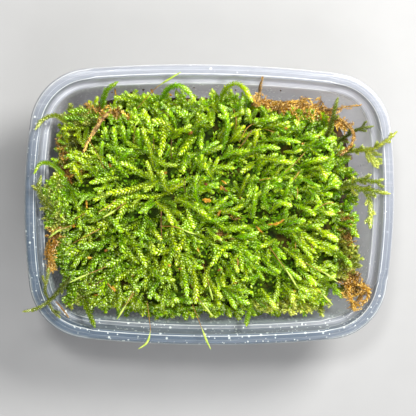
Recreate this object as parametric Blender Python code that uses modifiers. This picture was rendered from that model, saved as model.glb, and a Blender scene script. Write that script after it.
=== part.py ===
"""A clump of wet feather moss filling a clear plastic food tub, photographed from above.

The frame is the tub's own: +Z up, the origin at the middle of its underside, +X to the
right of the picture and +Y to its top. The tub stands flat. Old brown moss lies on its
floor, the living green mat lies on that, and loose shoots, spore stalks and dead stems
reach out of the mat and over the rim.
"""

import math
import random

import bmesh
import bpy
from mathutils import Vector, noise

MM = 0.001

# Tub
TUB_LENGTH = 172 * MM
TUB_WIDTH = 130.4 * MM
TUB_HEIGHT = 50 * MM
TUB_WALL = 0.8 * MM
LONG_SIDE_RADIUS = 586 * MM
SHORT_SIDE_RADIUS = 283 * MM
CORNER_RADIUS = 28.2 * MM
LONG_SIDE_STEPS = 3
CORNER_STEPS = 5
SHORT_SIDE_STEPS = 2

# Old brown moss under the mat: its base, its top, and the footprint of each
LAYER_BASE = TUB_WALL + 0.4 * MM
LAYER_TOP = 29 * MM
LAYER_FOOT = (67 * MM, 46 * MM)
LAYER_REACH = (70.5 * MM, 51 * MM)
LAYER_MIDDLE = (-2.5 * MM, 0.2 * MM)

# Living green mat
MAT_BASE = LAYER_TOP + 0.5 * MM
MAT_CROWN = 44.5 * MM
MAT_EDGE_DROP = 10 * MM
MAT_REACH = (67 * MM, 48.5 * MM)
MAT_MIDDLE = (-4 * MM, -2 * MM)
MAT_RIPPLE = 1.4 * MM
BACK_RIGHT_NOTCH = 0.16

# Shoots grown into the mat fan out from this point
FAN_CENTRE = (-21 * MM, 7 * MM)
SHOOT_RADIUS = 1.65 * MM
GROWN_RADIUS = 1.9 * MM
SHOOT_LENGTH = (13 * MM, 22 * MM)
SHOOT_OVERHANG = 3 * MM
SHOOT_COLUMNS = 11
SHOOT_ROWS = 7
EDGE_SHOOTS = 46
EDGE_LENGTH = (10 * MM, 15 * MM)
SHOOTS_TOP = 50 * MM
SHOOT_CLEARANCE = 4.4 * MM

STRAND_RADIUS = 1.5 * MM
STALK_RADIUS = 0.2 * MM
HOOD_RADIUS = 0.55 * MM

# Clearance between a loose piece and the socket it stands in
ROOM_AROUND = 0.45 * MM

# How square the bowed footprints of the mat and the old moss are
FOOTPRINT_POWER = 4.6

COLOURS = {
    "clear plastic": ((0.80, 0.84, 0.88), 0.25),
    "green moss": ((0.24, 0.40, 0.02), 0.55),
    "brown moss": ((0.20, 0.09, 0.02), 0.80),
    "spore stalk": ((0.42, 0.20, 0.03), 0.45),
    "straw": ((0.55, 0.36, 0.14), 0.70),
}

# Loose green shoots: each is a main stem and its side stems, in millimetres
SHOOTS = {
    "shoot_left_corner": [
        [(-63, 35, 38), (-68, 38, 45), (-72, 40.5, 50.5), (-77, 38.5, 53.4), (-80.5, 34, 53.2)]
    ],
    "shoot_left_arch": [
        [(-65, 10, 38), (-70, 15, 45), (-74, 18.5, 51), (-78, 18.5, 54), (-81, 14, 53.4)]
    ],
    "shoot_left_edge": [
        [(-66, -8, 38), (-71, -4, 44), (-75.5, 0, 50.5), (-78.8, 6, 53.4), (-78, 12.5, 53.6)]
    ],
    "shoot_back_left_upright": [
        [(-53, 38, 38), (-51, 44, 43), (-50, 49, 47.5), (-48.5, 52.5, 50), (-44, 56, 51)]
    ],
    "shoot_back_arch": [
        [(-25, 44, 38), (-23, 50, 44), (-20, 54, 49), (-16, 55, 51.5), (-12, 53, 50), (-8, 48, 47.6)]
    ],
    "shoot_back_loop": [
        [(3, 43, 38), (4, 49, 44), (6, 54, 50), (10, 56.5, 52), (14.5, 54, 51.5), (18.5, 48.5, 47)]
    ],
    "shoot_back_right_upright": [
        [(54, 29, 38), (55, 35, 44), (56, 41, 48.5), (56.5, 46, 50.5), (57.5, 50.5, 51.5)]
    ],
    "shoot_right_olive": [
        [(58, 29, 38), (63, 33, 44), (68, 36.5, 48.5), (74.5, 38, 50.5)]
    ],
    "shoot_right_over_rim": [
        [(58, 22, 38), (64, 26, 45), (70, 27, 51), (75, 28, 54), (80, 31.5, 55), (84.5, 35.5, 55.5)],
        [(70, 27, 51), (74, 24, 52.3), (77.5, 20.5, 52)],
    ],
    "shoot_right_fork": [
        [(58, 8, 38), (64, 9.5, 45), (70, 9, 49.5), (76, 8, 53.2), (82, 7, 54.2)],
        [(64, 9.5, 45), (69, 13, 49), (75, 12.5, 53.2), (79, 13.5, 54.4)],
        [(70, 9, 49.5), (74, 4, 49), (75, -3, 47.5), (75.6, -10, 45)],
    ],
    "shoot_front_left_over_rim": [
        [(-62, -32, 38), (-68, -38, 46), (-73, -43.5, 52), (-79, -47.5, 54), (-85.5, -49, 54.5)],
        [(-74, -44, 52.2), (-75.8, -39.5, 52.8), (-75, -34, 51.5), (-74.5, -29.5, 49.5)],
        [(-74.5, -44.5, 52.4), (-72, -49, 52.4), (-69, -52, 52.2)],
    ],
    "shoot_front_left_short": [
        [(-60, -40, 38), (-58, -46, 44), (-55.5, -51, 49.5), (-53, -56, 52.4)]
    ],
    "shoot_front_middle": [
        [(19, -41, 38), (20, -46, 43), (18, -51.5, 48.5), (17, -55, 52.2)]
    ],
}

# Spore stalks, each from inside the mat to the tip of its green hood, in millimetres
SPORE_STALKS = [
    [(-29, -46, 42), (-28, -53, 49), (-27.5, -58, 53), (-29, -63, 54.5), (-33, -66, 55)],
    [(-9, -44, 42), (-6, -51, 49.5), (-3.5, -57, 53.5), (-1.5, -62, 54.5), (0.5, -66, 55)],
    [(-36, 43, 42), (-30, 50, 48), (-26, 54, 50.5), (-20, 58, 53), (-15, 61, 54.5)],
    [(-43, -26, 43), (-49, -29, 49), (-55, -31.5, 50.5), (-60, -33.5, 51.5), (-65, -36, 52)],
    [(-37, 2, 43), (-41, 0, 49), (-45, -3, 50.5), (-50, -6, 51)],
    [(-9, -37, 43), (-5.5, -43, 49.5), (-2, -47, 51), (1.5, -51.5, 51.5)],
    [(-3, -28, 43), (-1, -35, 49.5), (0, -39, 50.5), (1.5, -44, 50)],
    [(42, -25, 43), (49, -28.5, 49.5), (54, -31, 50.5), (60, -35, 50)],
    [(25, -15, 43), (32, -25, 49.5), (36.5, -31, 51), (41, -38, 50.5)],
    [(45, -34, 42), (50, -38.5, 48.5), (54, -42, 49.5), (58, -46, 49)],
    [(-61, -9, 43), (-66, -10.5, 49), (-70, -12, 50.5), (-74.5, -15.5, 50)],
    [(-34, -36, 43), (-37, -43, 49.5), (-40, -48, 51), (-43, -53, 51)],
]

# Dead stems: straw and golden-brown, in millimetres, with their radius
DEAD_STEMS = {
    "dry_stem_left": (
        1.1, [(-48, 43, 43), (-51, 39, 49), (-54, 34, 51), (-57, 28.5, 50.5), (-59, 24, 49)]
    ),
    "dead_stem_right": (
        0.7, [(50, 45.5, 42.5), (57, 45.5, 44.5), (63, 47, 46), (69.5, 48, 46.5)]
    ),
    "dead_stem_back": (
        0.9, [(20.5, 47, 44.5), (21.5, 51, 46), (22, 55, 48.5), (22.3, 59.5, 51.8)]
    ),
    "dead_stem_curl": (
        0.8, [(59.5, 41, 42.5), (63.5, 38.5, 47.5), (65.5, 34, 51), (64, 29, 52.5), (59.5, 24.5, 51)]
    ),
}

# Tufts of dead brown moss lying loose at the mat's edge, in millimetres
BROWN_TUFTS = {
    "brown_tuft_right": [
        [(60, -33, 38), (65, -34.5, 42), (69.5, -36, 46.5), (73.5, -38, 48), (74.5, -41.5, 48.3),
         (72, -45.5, 47.5)],
        [(65, -34.5, 42), (65.5, -39, 45.5), (67, -43.5, 47.5), (68.5, -47.5, 47.8)],
    ],
    "brown_tuft_left": [
        [(-62, -16, 36), (-67.5, -17.5, 40), (-72.5, -20, 43), (-74.3, -25, 45), (-73.3, -31.5, 44.5)],
        [(-67.5, -17.5, 40), (-71.5, -15, 43), (-73.5, -10.5, 45)],
    ],
}

# Golden-brown strands grown into the old layer where the green mat leaves it bare
BROWN_STRANDS = [
    [(20, 47, 28), (27, 48.5, 38), (35, 47, 40)],
    [(24, 45.5, 28), (31, 46.5, 40), (39, 45.5, 41)],
    [(31, 46, 28), (39, 48.5, 37), (46, 47, 39)],
    [(36, 44.5, 28), (43, 45, 40), (51, 43.5, 40)],
    [(43, 45, 28), (51, 47, 37), (58, 44, 38)],
    [(50, 41, 28), (56, 42.5, 39), (61, 39.5, 39)],
    [(56, 40, 27), (62, 40, 34), (64.5, 35, 36)],
    [(-62, 12, 24), (-70, 13, 34), (-71.5, 7, 36)],
    [(-60, 22, 24), (-69.5, 25, 33), (-70.5, 18, 35)],
]


def empty_scene():
    for obj in list(bpy.data.objects):
        bpy.data.objects.remove(obj, do_unlink=True)


def new_collection(name):
    collection = bpy.data.collections.new(name)
    bpy.context.scene.collection.children.link(collection)
    return collection


def material(name):
    colour, roughness = COLOURS[name]
    made = bpy.data.materials.new(name)
    made.use_nodes = True
    shader = made.node_tree.nodes["Principled BSDF"]
    shader.inputs["Base Color"].default_value = (*colour, 1)
    shader.inputs["Roughness"].default_value = roughness
    shader.inputs["Metallic"].default_value = 0
    if name == "clear plastic":
        shader.inputs["Transmission Weight"].default_value = 0.8
        shader.inputs["IOR"].default_value = 1.49
    return made


def smoothstep(value, low, high):
    share = min(max((value - low) / (high - low), 0), 1)
    return share * share * (3 - 2 * share)


def arc(centre, radius, start, stop, steps):
    """Points along a circle's arc, without the last."""
    angles = [start + (stop - start) * step / steps for step in range(steps)]
    return [(centre[0] + radius * math.cos(a), centre[1] + radius * math.sin(a)) for a in angles]


def tub_outline():
    """The rim seen from above: bowed sides and round corners, tangent to each other."""
    long_centre = (0, TUB_WIDTH / 2 - LONG_SIDE_RADIUS)
    short_centre = (TUB_LENGTH / 2 - SHORT_SIDE_RADIUS, 0)
    to_long = LONG_SIDE_RADIUS - CORNER_RADIUS
    to_short = SHORT_SIDE_RADIUS - CORNER_RADIUS
    apart = math.hypot(short_centre[0], long_centre[1])
    along = (to_long**2 - to_short**2 + apart**2) / (2 * apart)
    aside = math.sqrt(to_long**2 - along**2)
    ux, uy = short_centre[0] / apart, -long_centre[1] / apart
    corner = (ux * along + uy * aside, long_centre[1] + uy * along - ux * aside)
    low = math.atan2(corner[1], corner[0] - short_centre[0])
    high = math.atan2(corner[1] - long_centre[1], corner[0])
    quarter = arc(short_centre, SHORT_SIDE_RADIUS, 0, low, SHORT_SIDE_STEPS)
    quarter += arc(corner, CORNER_RADIUS, low, high, CORNER_STEPS)
    quarter += arc(long_centre, LONG_SIDE_RADIUS, high, math.pi / 2, LONG_SIDE_STEPS)
    top = (0, TUB_WIDTH / 2)
    half = quarter + [top] + [(-x, y) for x, y in reversed(quarter)]
    return half + [(x, -y) for x, y in reversed(half[1:-1])]


def tub_profile():
    """The tub's upper face from the skirt of the rim to the floor, as (inset, height)."""
    rim = TUB_HEIGHT
    floor = TUB_WALL
    steps = [
        (0, rim - 3.6 * MM),
        (0.5 * MM, rim - 0.9 * MM),
        (1.6 * MM, rim),
        (4.7 * MM, rim),
        (5.5 * MM, rim - 0.8 * MM),
        (6.1 * MM, rim - 5.6 * MM),
        (6.9 * MM, rim - 6.5 * MM),
        (8.3 * MM, rim - 6.9 * MM),
        (9.0 * MM, rim - 8.2 * MM),
        (12.4 * MM, floor + 5.6 * MM),
        (13.6 * MM, floor + 2.2 * MM),
        (17.0 * MM, floor),
    ]
    return steps


def poly_curve(name, runs, cyclic=False, dimensions="3D"):
    """A curve object of straight runs, each a list of (point, thickness)."""
    curve = bpy.data.curves.new(name, "CURVE")
    curve.dimensions = dimensions
    for run in runs:
        spline = curve.splines.new("POLY")
        spline.points.add(len(run) - 1)
        for slot, (point, thickness) in zip(spline.points, run):
            slot.co = (*point, 1)
            slot.radius = thickness
        spline.use_cyclic_u = cyclic
    obj = bpy.data.objects.new(name, curve)
    bpy.context.scene.collection.objects.link(obj)
    return obj


def meshed(curve_obj, name, collection):
    """The curve's evaluated shape as a mesh object with its caps welded on."""
    bpy.context.view_layer.update()
    graph = bpy.context.evaluated_depsgraph_get()
    mesh = bpy.data.meshes.new_from_object(curve_obj.evaluated_get(graph))
    bm = bmesh.new()
    bm.from_mesh(mesh)
    bmesh.ops.remove_doubles(bm, verts=bm.verts, dist=0.01 * MM)
    bmesh.ops.recalc_face_normals(bm, faces=bm.faces)
    bm.to_mesh(mesh)
    bm.free()
    made = bpy.data.objects.new(name, mesh)
    made.matrix_world = curve_obj.matrix_world
    collection.objects.link(made)
    bpy.data.objects.remove(curve_obj, do_unlink=True)
    made.name = name
    return made


def smooth_shading(obj, angle=50):
    obj.data.shade_smooth()
    obj.data.set_sharp_from_angle(angle=math.radians(angle))


def make_tub(collection, plastic):
    """The rim's outline carries the wall's profile round; a floor closes it and it is thickened."""
    profile = [((inset, height, 0), 1) for inset, height in tub_profile()]
    section = poly_curve("tub_section", [profile], False, "2D")
    outline = [((x, y, 0), 1) for x, y in tub_outline()]
    sweep = poly_curve("tub_sweep", [outline], True, "2D")
    sweep.data.bevel_mode = "OBJECT"
    sweep.data.bevel_object = section
    sweep.data.fill_mode = "NONE"
    tub = meshed(sweep, "tub", collection)
    bpy.data.objects.remove(section, do_unlink=True)
    bm = bmesh.new()
    bm.from_mesh(tub.data)
    lowest = min(v.co.z for v in bm.verts)
    loop = [e for e in bm.edges if e.is_boundary and all(v.co.z < lowest + 0.1 * MM for v in e.verts)]
    bmesh.ops.contextual_create(bm, geom=loop)
    bmesh.ops.recalc_face_normals(bm, faces=bm.faces)
    floor = max(bm.faces, key=lambda f: f.calc_area())
    if floor.normal.z < 0:
        bmesh.ops.reverse_faces(bm, faces=bm.faces)
    bm.to_mesh(tub.data)
    bm.free()
    wall = tub.modifiers.new("wall", "SOLIDIFY")
    wall.thickness = TUB_WALL
    wall.offset = -1
    wall.use_even_offset = True
    tub.data.materials.append(plastic)
    smooth_shading(tub)
    return tub


def footprint_radius(angle, reach, power=FOOTPRINT_POWER):
    """How far a bowed rectangle of that half length and half width reaches at an angle."""
    across = abs(math.cos(angle) / reach[0]) ** power
    along = abs(math.sin(angle) / reach[1]) ** power
    return (across + along) ** (-1 / power)


def on_footprint(u, v, reach, middle, notch=0):
    """Where a square's point (u, v), each from -1 to 1, lies in the footprint."""
    if u == 0 and v == 0:
        return middle
    angle = math.atan2(v * reach[1], u * reach[0])
    out = max(abs(u), abs(v)) * footprint_radius(angle, reach)
    x = middle[0] + out * math.cos(angle)
    y = middle[1] + out * math.sin(angle)
    if y > 0:
        y *= 1 - notch * smoothstep(x, 8 * MM, 26 * MM)
    return x, y


def ripple(x, y, waves):
    """A smooth bumpy value from -1 to 1."""
    return noise.noise(Vector((x * waves, y * waves, 0.7)))


def mat_height(x, y):
    """The height of the green mat's top, before its shoots."""
    across = abs((x - MAT_MIDDLE[0]) / MAT_REACH[0])
    along = abs((y - MAT_MIDDLE[1]) / MAT_REACH[1])
    edge = across**FOOTPRINT_POWER + along**FOOTPRINT_POWER
    return MAT_CROWN - MAT_EDGE_DROP * smoothstep(edge, 0.35, 1.25) + MAT_RIPPLE * ripple(x, y, 70)


def cushion(name, collection, columns, rows, shape, sides):
    """A lumpy cushion: a grid laid over its footprint, drawn down at its edge to a flat base."""
    bm = bmesh.new()
    bmesh.ops.create_grid(bm, x_segments=columns, y_segments=rows, size=1)
    for vert in bm.verts:
        vert.co = shape(vert.co.x, vert.co.y)
    edge = [e for e in bm.edges if e.is_boundary]
    for side in sides:
        grown = bmesh.ops.extrude_edge_only(bm, edges=edge)["geom"]
        for vert in [g for g in grown if isinstance(g, bmesh.types.BMVert)]:
            vert.co = side(vert.co)
        edge = [g for g in grown if isinstance(g, bmesh.types.BMEdge) and g.is_boundary]
    bmesh.ops.contextual_create(bm, geom=edge)
    bmesh.ops.recalc_face_normals(bm, faces=bm.faces)
    bm.normal_update()
    under = min(bm.faces, key=lambda f: f.calc_center_median().z)
    if under.normal.z > 0:
        bmesh.ops.reverse_faces(bm, faces=bm.faces)
    mesh = bpy.data.meshes.new(name)
    bm.to_mesh(mesh)
    bm.free()
    made = bpy.data.objects.new(name, mesh)
    collection.objects.link(made)
    return made


def make_brown_layer(collection, brown, cutters):
    """Old moss and litter on the floor of the tub, with the strands that show beside the mat."""

    def top(u, v):
        x, y = on_footprint(u, v, LAYER_REACH, LAYER_MIDDLE)
        return Vector((x, y, LAYER_TOP))

    def waist(point):
        wobble = 1 - 0.02 * (1 + ripple(point.x, point.y, 60))
        return Vector((point.x * wobble, point.y * wobble, LAYER_TOP * 0.55))

    def foot(point):
        angle = math.atan2(point.y, point.x)
        out = footprint_radius(angle, LAYER_FOOT)
        return Vector((out * math.cos(angle), out * math.sin(angle), LAYER_BASE))

    layer = cushion("brown_moss_layer", collection, 8, 6, top, [waist, foot])
    join_in(layer, tubes("brown_strands", BROWN_STRANDS, STRAND_RADIUS))
    runs = [tube_run(points, STRAND_RADIUS, blunt) for points in BROWN_STRANDS]
    room_for("brown_strands", runs, cutters, 1)
    layer.data.materials.append(brown)
    smooth_shading(layer, 60)
    return layer


def spread(points, steps):
    """A smooth curve through hand-picked points in millimetres, as metres."""
    picked = [Vector(p) * MM for p in points]
    ends = [2 * picked[0] - picked[1]] + picked + [2 * picked[-1] - picked[-2]]
    path = []
    for a, b, c, d in zip(ends, ends[1:], ends[2:], ends[3:]):
        for step in range(steps):
            t = step / steps
            square = (2 * a - 5 * b + 4 * c - d) * t**2
            cube = (3 * b - a - 3 * c + d) * t**3
            path.append((2 * b + (c - a) * t + square + cube) / 2)
    return path + [picked[-1]]


def blunt(share, start=0.85, end=0.5):
    """A shoot's thickness along its length: nearly even, and rounded off at the tip."""
    return start + (1 - start) * smoothstep(share, 0, 0.3) - (1 - end) * smoothstep(share, 0.75, 1)


def tube_run(points, radius, thickness, steps=1, extra=0):
    """One run for a bevelled curve, radius metres thick, changing as thickness(share) says."""
    path = spread(points, steps)
    last = len(path) - 1
    return [(p, radius * thickness(i / last) + extra) for i, p in enumerate(path)]


def bevelled(name, runs, sides):
    """A curve object swept to each point's own thickness in metres, with filled caps."""
    obj = poly_curve(name, runs)
    obj.data.bevel_depth = 1
    obj.data.bevel_resolution = sides
    obj.data.use_fill_caps = True
    return obj


def tubes(name, paths, radius, sides=1, extra=0, steps=1):
    """Meshes of tubes along paths, one hidden object each, to be joined into a piece."""
    made = []
    for number, points in enumerate(paths):
        runs = [tube_run(points, radius, blunt, steps, extra)]
        helper = meshed(bevelled(name, runs, sides), f"{name}_{number:03d}", helpers)
        helper.hide_render = True
        helper.display_type = "WIRE"
        made.append(helper)
    return made


def join_in(body, others):
    """Fuses the other meshes into the body, all at once."""
    group = bpy.data.collections.new(body.name + "_joined")
    helpers.children.link(group)
    for other in others:
        group.objects.link(other)
    fuse = body.modifiers.new("grown together", "BOOLEAN")
    fuse.operation = "UNION"
    fuse.operand_type = "COLLECTION"
    fuse.collection = group
    fuse.solver = "EXACT"
    fuse.use_self = True
    bpy.context.view_layer.update()
    graph = bpy.context.evaluated_depsgraph_get()
    mesh = bpy.data.meshes.new_from_object(body.evaluated_get(graph))
    body.modifiers.clear()
    body.data = mesh
    for other in others:
        bpy.data.objects.remove(other, do_unlink=True)
    bpy.data.collections.remove(group)


def grown_paths(blocked):
    """Paths in millimetres for the shoots grown into the mat, which fan out over its top and edge."""
    draw = random.Random(5)
    places = []
    for row in range(SHOOT_ROWS):
        for column in range(SHOOT_COLUMNS):
            u = (column + draw.uniform(0.1, 0.9)) / SHOOT_COLUMNS * 2 - 1
            v = (row + draw.uniform(0.1, 0.9)) / SHOOT_ROWS * 2 - 1
            places.append((u * 0.86, v * 0.86, draw.gauss(0, 0.4), draw.uniform(*SHOOT_LENGTH)))
    for step in range(EDGE_SHOOTS):
        angle = math.tau * (step + draw.uniform(-0.25, 0.25)) / EDGE_SHOOTS
        side = max(abs(math.cos(angle)), abs(math.sin(angle)))
        u = math.cos(angle) / side * draw.uniform(0.86, 0.92)
        v = math.sin(angle) / side * draw.uniform(0.86, 0.92)
        places.append((u, v, draw.gauss(0, 0.25), draw.uniform(*EDGE_LENGTH)))
    paths = []
    for u, v, swing, length in places:
        x, y = on_footprint(u, v, MAT_REACH, MAT_MIDDLE, BACK_RIGHT_NOTCH)
        heading = math.atan2(y - FAN_CENTRE[1], x - FAN_CENTRE[0]) + swing
        bend = draw.uniform(-0.5, 0.5)
        lift = draw.uniform(0.4, 2.2) * MM
        path = []
        for share, height in ((0, -1.2 * MM), (0.5, lift), (1, lift * 0.6)):
            turn = heading + bend * share
            px = x + length * (share - 0.35) * math.cos(turn)
            py = y + length * (share - 0.35) * math.sin(turn)
            path.append(Vector((px, py, mat_height(px, py) + height)) / MM)
        if inside_mat(path[-1] * MM) and not near(spread(path, 4), blocked):
            paths.append(path)
    return paths


def inside_mat(point):
    """Whether a shoot's tip stays above the mat, clear of the tub's wall and the bare brown edge."""
    across = abs((point.x - MAT_MIDDLE[0]) / (MAT_REACH[0] + SHOOT_OVERHANG))
    along = abs((point.y - MAT_MIDDLE[1]) / (MAT_REACH[1] + SHOOT_OVERHANG))
    bare = point.x > 8 * MM and point.y > 40 * MM
    return across**FOOTPRINT_POWER + along**FOOTPRINT_POWER < 1 and not bare


def near(path, blocked):
    """Whether a path runs close to any of the loose pieces' points, seen from above."""
    return any((a - b).to_2d().length < SHOOT_CLEARANCE for a in path for b in blocked)


def make_green_mat(collection, green, cutters, blocked):
    """The living mat: a cushion with its shoots fused in, and sockets for what stands in it."""

    def top(u, v):
        x, y = on_footprint(u, v, MAT_REACH, MAT_MIDDLE, BACK_RIGHT_NOTCH)
        return Vector((x, y, mat_height(x, y)))

    def rim(point):
        wobble = 1 + 0.012 * ripple(point.x, point.y, 90)
        return Vector((point.x * wobble, point.y * wobble, (point.z + MAT_BASE) / 2))

    def foot(point):
        return Vector((point.x * 0.97, point.y * 0.97, MAT_BASE))

    mat = cushion("green_moss_mat", collection, 18, 13, top, [rim, foot])
    join_in(mat, tubes("grown_shoots", grown_paths(blocked), GROWN_RADIUS, 0))
    sockets = mat.modifiers.new("sockets", "BOOLEAN")
    sockets.operation = "DIFFERENCE"
    sockets.operand_type = "COLLECTION"
    sockets.collection = cutters
    sockets.solver = "EXACT"
    mat.data.materials.clear()
    mat.data.materials.append(green)
    smooth_shading(mat, 60)
    return mat


def room_for(name, runs, cutters, sides):
    """A slightly fatter copy of a piece, which cuts its socket out of the mat."""
    for number, run in enumerate(runs):
        wider = [(p, thickness + ROOM_AROUND) for p, thickness in run]
        ends = []
        for (end, thickness), (inner, unused) in ((wider[0], wider[1]), (wider[-1], wider[-2])):
            ends.append((end + (end - inner).normalized() * ROOM_AROUND, thickness))
        room = [[ends[0]] + wider[1:-1] + [ends[1]]]
        cutter = meshed(bevelled(name + "_room", room, sides), f"{name}_room_{number}", cutters)
        cutter.hide_render = True
        cutter.display_type = "WIRE"


def make_loose(collection, pieces, finish, cutters):
    """Shoots or tufts that reach out of the mat, with their slimmer side shoots joined on."""
    for name, stems in pieces.items():
        runs = [tube_run(stems[0], SHOOT_RADIUS, blunt, 2)]
        runs += [tube_run(points, SHOOT_RADIUS * 0.92, blunt, 2) for points in stems[1:]]
        parts = []
        for number, run in enumerate(runs):
            parts.append(meshed(bevelled(name, [run], 1), f"{name}_{number}", helpers))
        shoot = parts[0]
        helpers.objects.unlink(shoot)
        collection.objects.link(shoot)
        shoot.name = name
        if len(parts) > 1:
            join_in(shoot, parts[1:])
        shoot.data.materials.clear()
        shoot.data.materials.append(finish)
        smooth_shading(shoot, 60)
        room_for(name, runs, cutters, 1)


def hooded(share):
    """A spore stalk's thickness along its length: a thin stalk, then a slim pointed hood."""
    hood = HOOD_RADIUS / STALK_RADIUS
    return 1 + (hood - 1) * smoothstep(share, 0.62, 0.78) - (hood - 0.4) * smoothstep(share, 0.84, 1)


def make_spore_stalks(collection, stalk, cutters):
    """Thin stalks that stand in the mat, each with its hood."""
    for number, points in enumerate(SPORE_STALKS, 1):
        name = f"spore_stalk_{number:02d}"
        run = tube_run(points, STALK_RADIUS, hooded, 2)
        made = meshed(bevelled(name, [run], 0), name, collection)
        made.data.materials.append(stalk)
        smooth_shading(made, 70)
        room_for(name, [run], cutters, 0)


def make_dead_stems(collection, straw, cutters):
    """Dead stems that stand in the mat or lie at its back edge."""
    for name, (radius, points) in DEAD_STEMS.items():
        run = tube_run(points, radius * MM, blunt, 2)
        made = meshed(bevelled(name, [run], 0), name, collection)
        made.data.materials.append(straw)
        smooth_shading(made, 70)
        room_for(name, [run], cutters, 0)


def loose_points():
    """The loose pieces' points, in metres, that are low enough for the grown shoots to avoid."""
    paths = [stem for stems in (*SHOOTS.values(), *BROWN_TUFTS.values()) for stem in stems]
    paths += SPORE_STALKS
    paths += [points for radius, points in DEAD_STEMS.values()]
    paths += BROWN_STRANDS
    points = [p for path in paths for p in spread(path, 3)]
    return [p for p in points if p.z < SHOOTS_TOP]


empty_scene()
helpers = new_collection("helpers")
cutters = new_collection("cutters")
clump = new_collection("moss_clump")
green = material("green moss")
make_tub(clump, material("clear plastic"))
brown = material("brown moss")
make_brown_layer(clump, brown, cutters)
make_loose(clump, SHOOTS, green, cutters)
make_loose(clump, BROWN_TUFTS, brown, cutters)
make_spore_stalks(clump, material("spore stalk"), cutters)
make_dead_stems(clump, material("straw"), cutters)
make_green_mat(clump, green, cutters, loose_points())
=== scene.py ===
import math
import random

import bmesh
import bpy
import numpy as np
from mathutils import Euler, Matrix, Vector, noise


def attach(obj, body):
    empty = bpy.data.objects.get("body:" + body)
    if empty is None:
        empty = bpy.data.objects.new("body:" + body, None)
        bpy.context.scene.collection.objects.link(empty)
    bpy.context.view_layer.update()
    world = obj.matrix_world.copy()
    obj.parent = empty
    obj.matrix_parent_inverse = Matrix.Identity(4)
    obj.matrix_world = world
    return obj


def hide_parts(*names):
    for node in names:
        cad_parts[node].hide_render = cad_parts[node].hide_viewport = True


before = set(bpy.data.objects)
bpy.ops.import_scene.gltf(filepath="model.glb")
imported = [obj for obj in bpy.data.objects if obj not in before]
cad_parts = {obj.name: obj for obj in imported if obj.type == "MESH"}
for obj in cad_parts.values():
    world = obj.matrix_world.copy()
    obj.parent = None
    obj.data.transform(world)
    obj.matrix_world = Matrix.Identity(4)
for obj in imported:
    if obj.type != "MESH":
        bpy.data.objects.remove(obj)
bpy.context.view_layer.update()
bpy.ops.object.select_all(action="DESELECT")
print("frame loaded:", len(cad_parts), "nodes")

mm = 0.001


# ---- materials: arithmetic on sockets and one way to add any node

class Wire:
    def __init__(self, finish, socket):
        self.finish = finish
        self.socket = socket

    def math(self, operation, first, second):
        made = self.finish.node("ShaderNodeMath", {"operation": operation}, {0: first, 1: second})
        return made[0]

    def __add__(self, other):
        return self.math("ADD", self, other)

    def __radd__(self, other):
        return self.math("ADD", other, self)

    def __sub__(self, other):
        return self.math("SUBTRACT", self, other)

    def __rsub__(self, other):
        return self.math("SUBTRACT", other, self)

    def __mul__(self, other):
        return self.math("MULTIPLY", self, other)

    def __rmul__(self, other):
        return self.math("MULTIPLY", other, self)

    def size(self):
        return self.math("ABSOLUTE", self, 0)

    def clamped(self):
        return self.finish.node("ShaderNodeClamp", {}, {0: self})[0]

    def between(self, low, high):
        # 0 below low, 1 above high and a smooth step between
        ports = {"Value": self, "From Min": low, "From Max": high}
        return self.finish.node("ShaderNodeMapRange", {"interpolation_type": "SMOOTHSTEP"}, ports)[0]


class Finish:
    def __init__(self, name):
        self.material = bpy.data.materials.new(name)
        self.material.use_nodes = True
        self.tree = self.material.node_tree
        self.shader = self.tree.nodes["Principled BSDF"]
        self.end = self.tree.nodes["Material Output"]
        self.where = self.node("ShaderNodeTexCoord", {}, {}, "Object")

    def node(self, kind, settings, ports, output=None):
        made = self.tree.nodes.new(kind)
        for key, value in settings.items():
            if key == "stops":
                self.setStops(made.color_ramp, value)
            else:
                setattr(made, key, value)
        for key, value in ports.items():
            self.plug(made.inputs[key], value)
        if output is not None:
            return Wire(self, made.outputs[output])
        return [Wire(self, socket) for socket in made.outputs]

    def setStops(self, ramp, stops):
        while len(ramp.elements) < len(stops):
            ramp.elements.new(0.5)
        for element, (place, colour) in zip(ramp.elements, stops):
            element.position = place
            element.color = (*colour, 1)

    def plug(self, socket, value):
        if isinstance(value, Wire):
            self.tree.links.new(value.socket, socket)
        else:
            socket.default_value = value

    def set(self, **ports):
        for key, value in ports.items():
            self.plug(self.shader.inputs[key.replace("_", " ")], value)

    def noise(self, scale, detail=3, roughness=0.5, vector=None):
        ports = {"Vector": vector or self.where, "Scale": scale, "Detail": detail, "Roughness": roughness}
        return self.node("ShaderNodeTexNoise", {}, ports, "Fac")

    def stretched(self, scale):
        return self.node("ShaderNodeMapping", {}, {"Vector": self.where, "Scale": scale}, 0)

    def cells(self, scale, vector=None):
        # distance from the middle of the nearest of many scattered cells
        return self.node("ShaderNodeTexVoronoi", {}, {"Vector": vector or self.where, "Scale": scale}, "Distance")

    def mix(self, share, first, second):
        # colours: first where share is 0, second where it is 1
        made = self.tree.nodes.new("ShaderNodeMix")
        made.data_type = "RGBA"
        self.plug(made.inputs[0], share)
        for slot, value in ((made.inputs[6], first), (made.inputs[7], second)):
            self.plug(slot, value if isinstance(value, Wire) else (*value, 1))
        return Wire(self, made.outputs[2])

    def bump(self, height, strength, distance):
        ports = {"Height": height, "Strength": strength, "Distance": distance}
        return self.node("ShaderNodeBump", {}, ports, "Normal")

    def attribute(self, name, output="Color"):
        return self.node("ShaderNodeAttribute", {"attribute_name": name}, {}, output)

    def channels(self, name):
        # the red, green and blue of a colour attribute
        made = self.node("ShaderNodeSeparateColor", {}, {0: self.attribute(name)})
        return made[:3]


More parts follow.
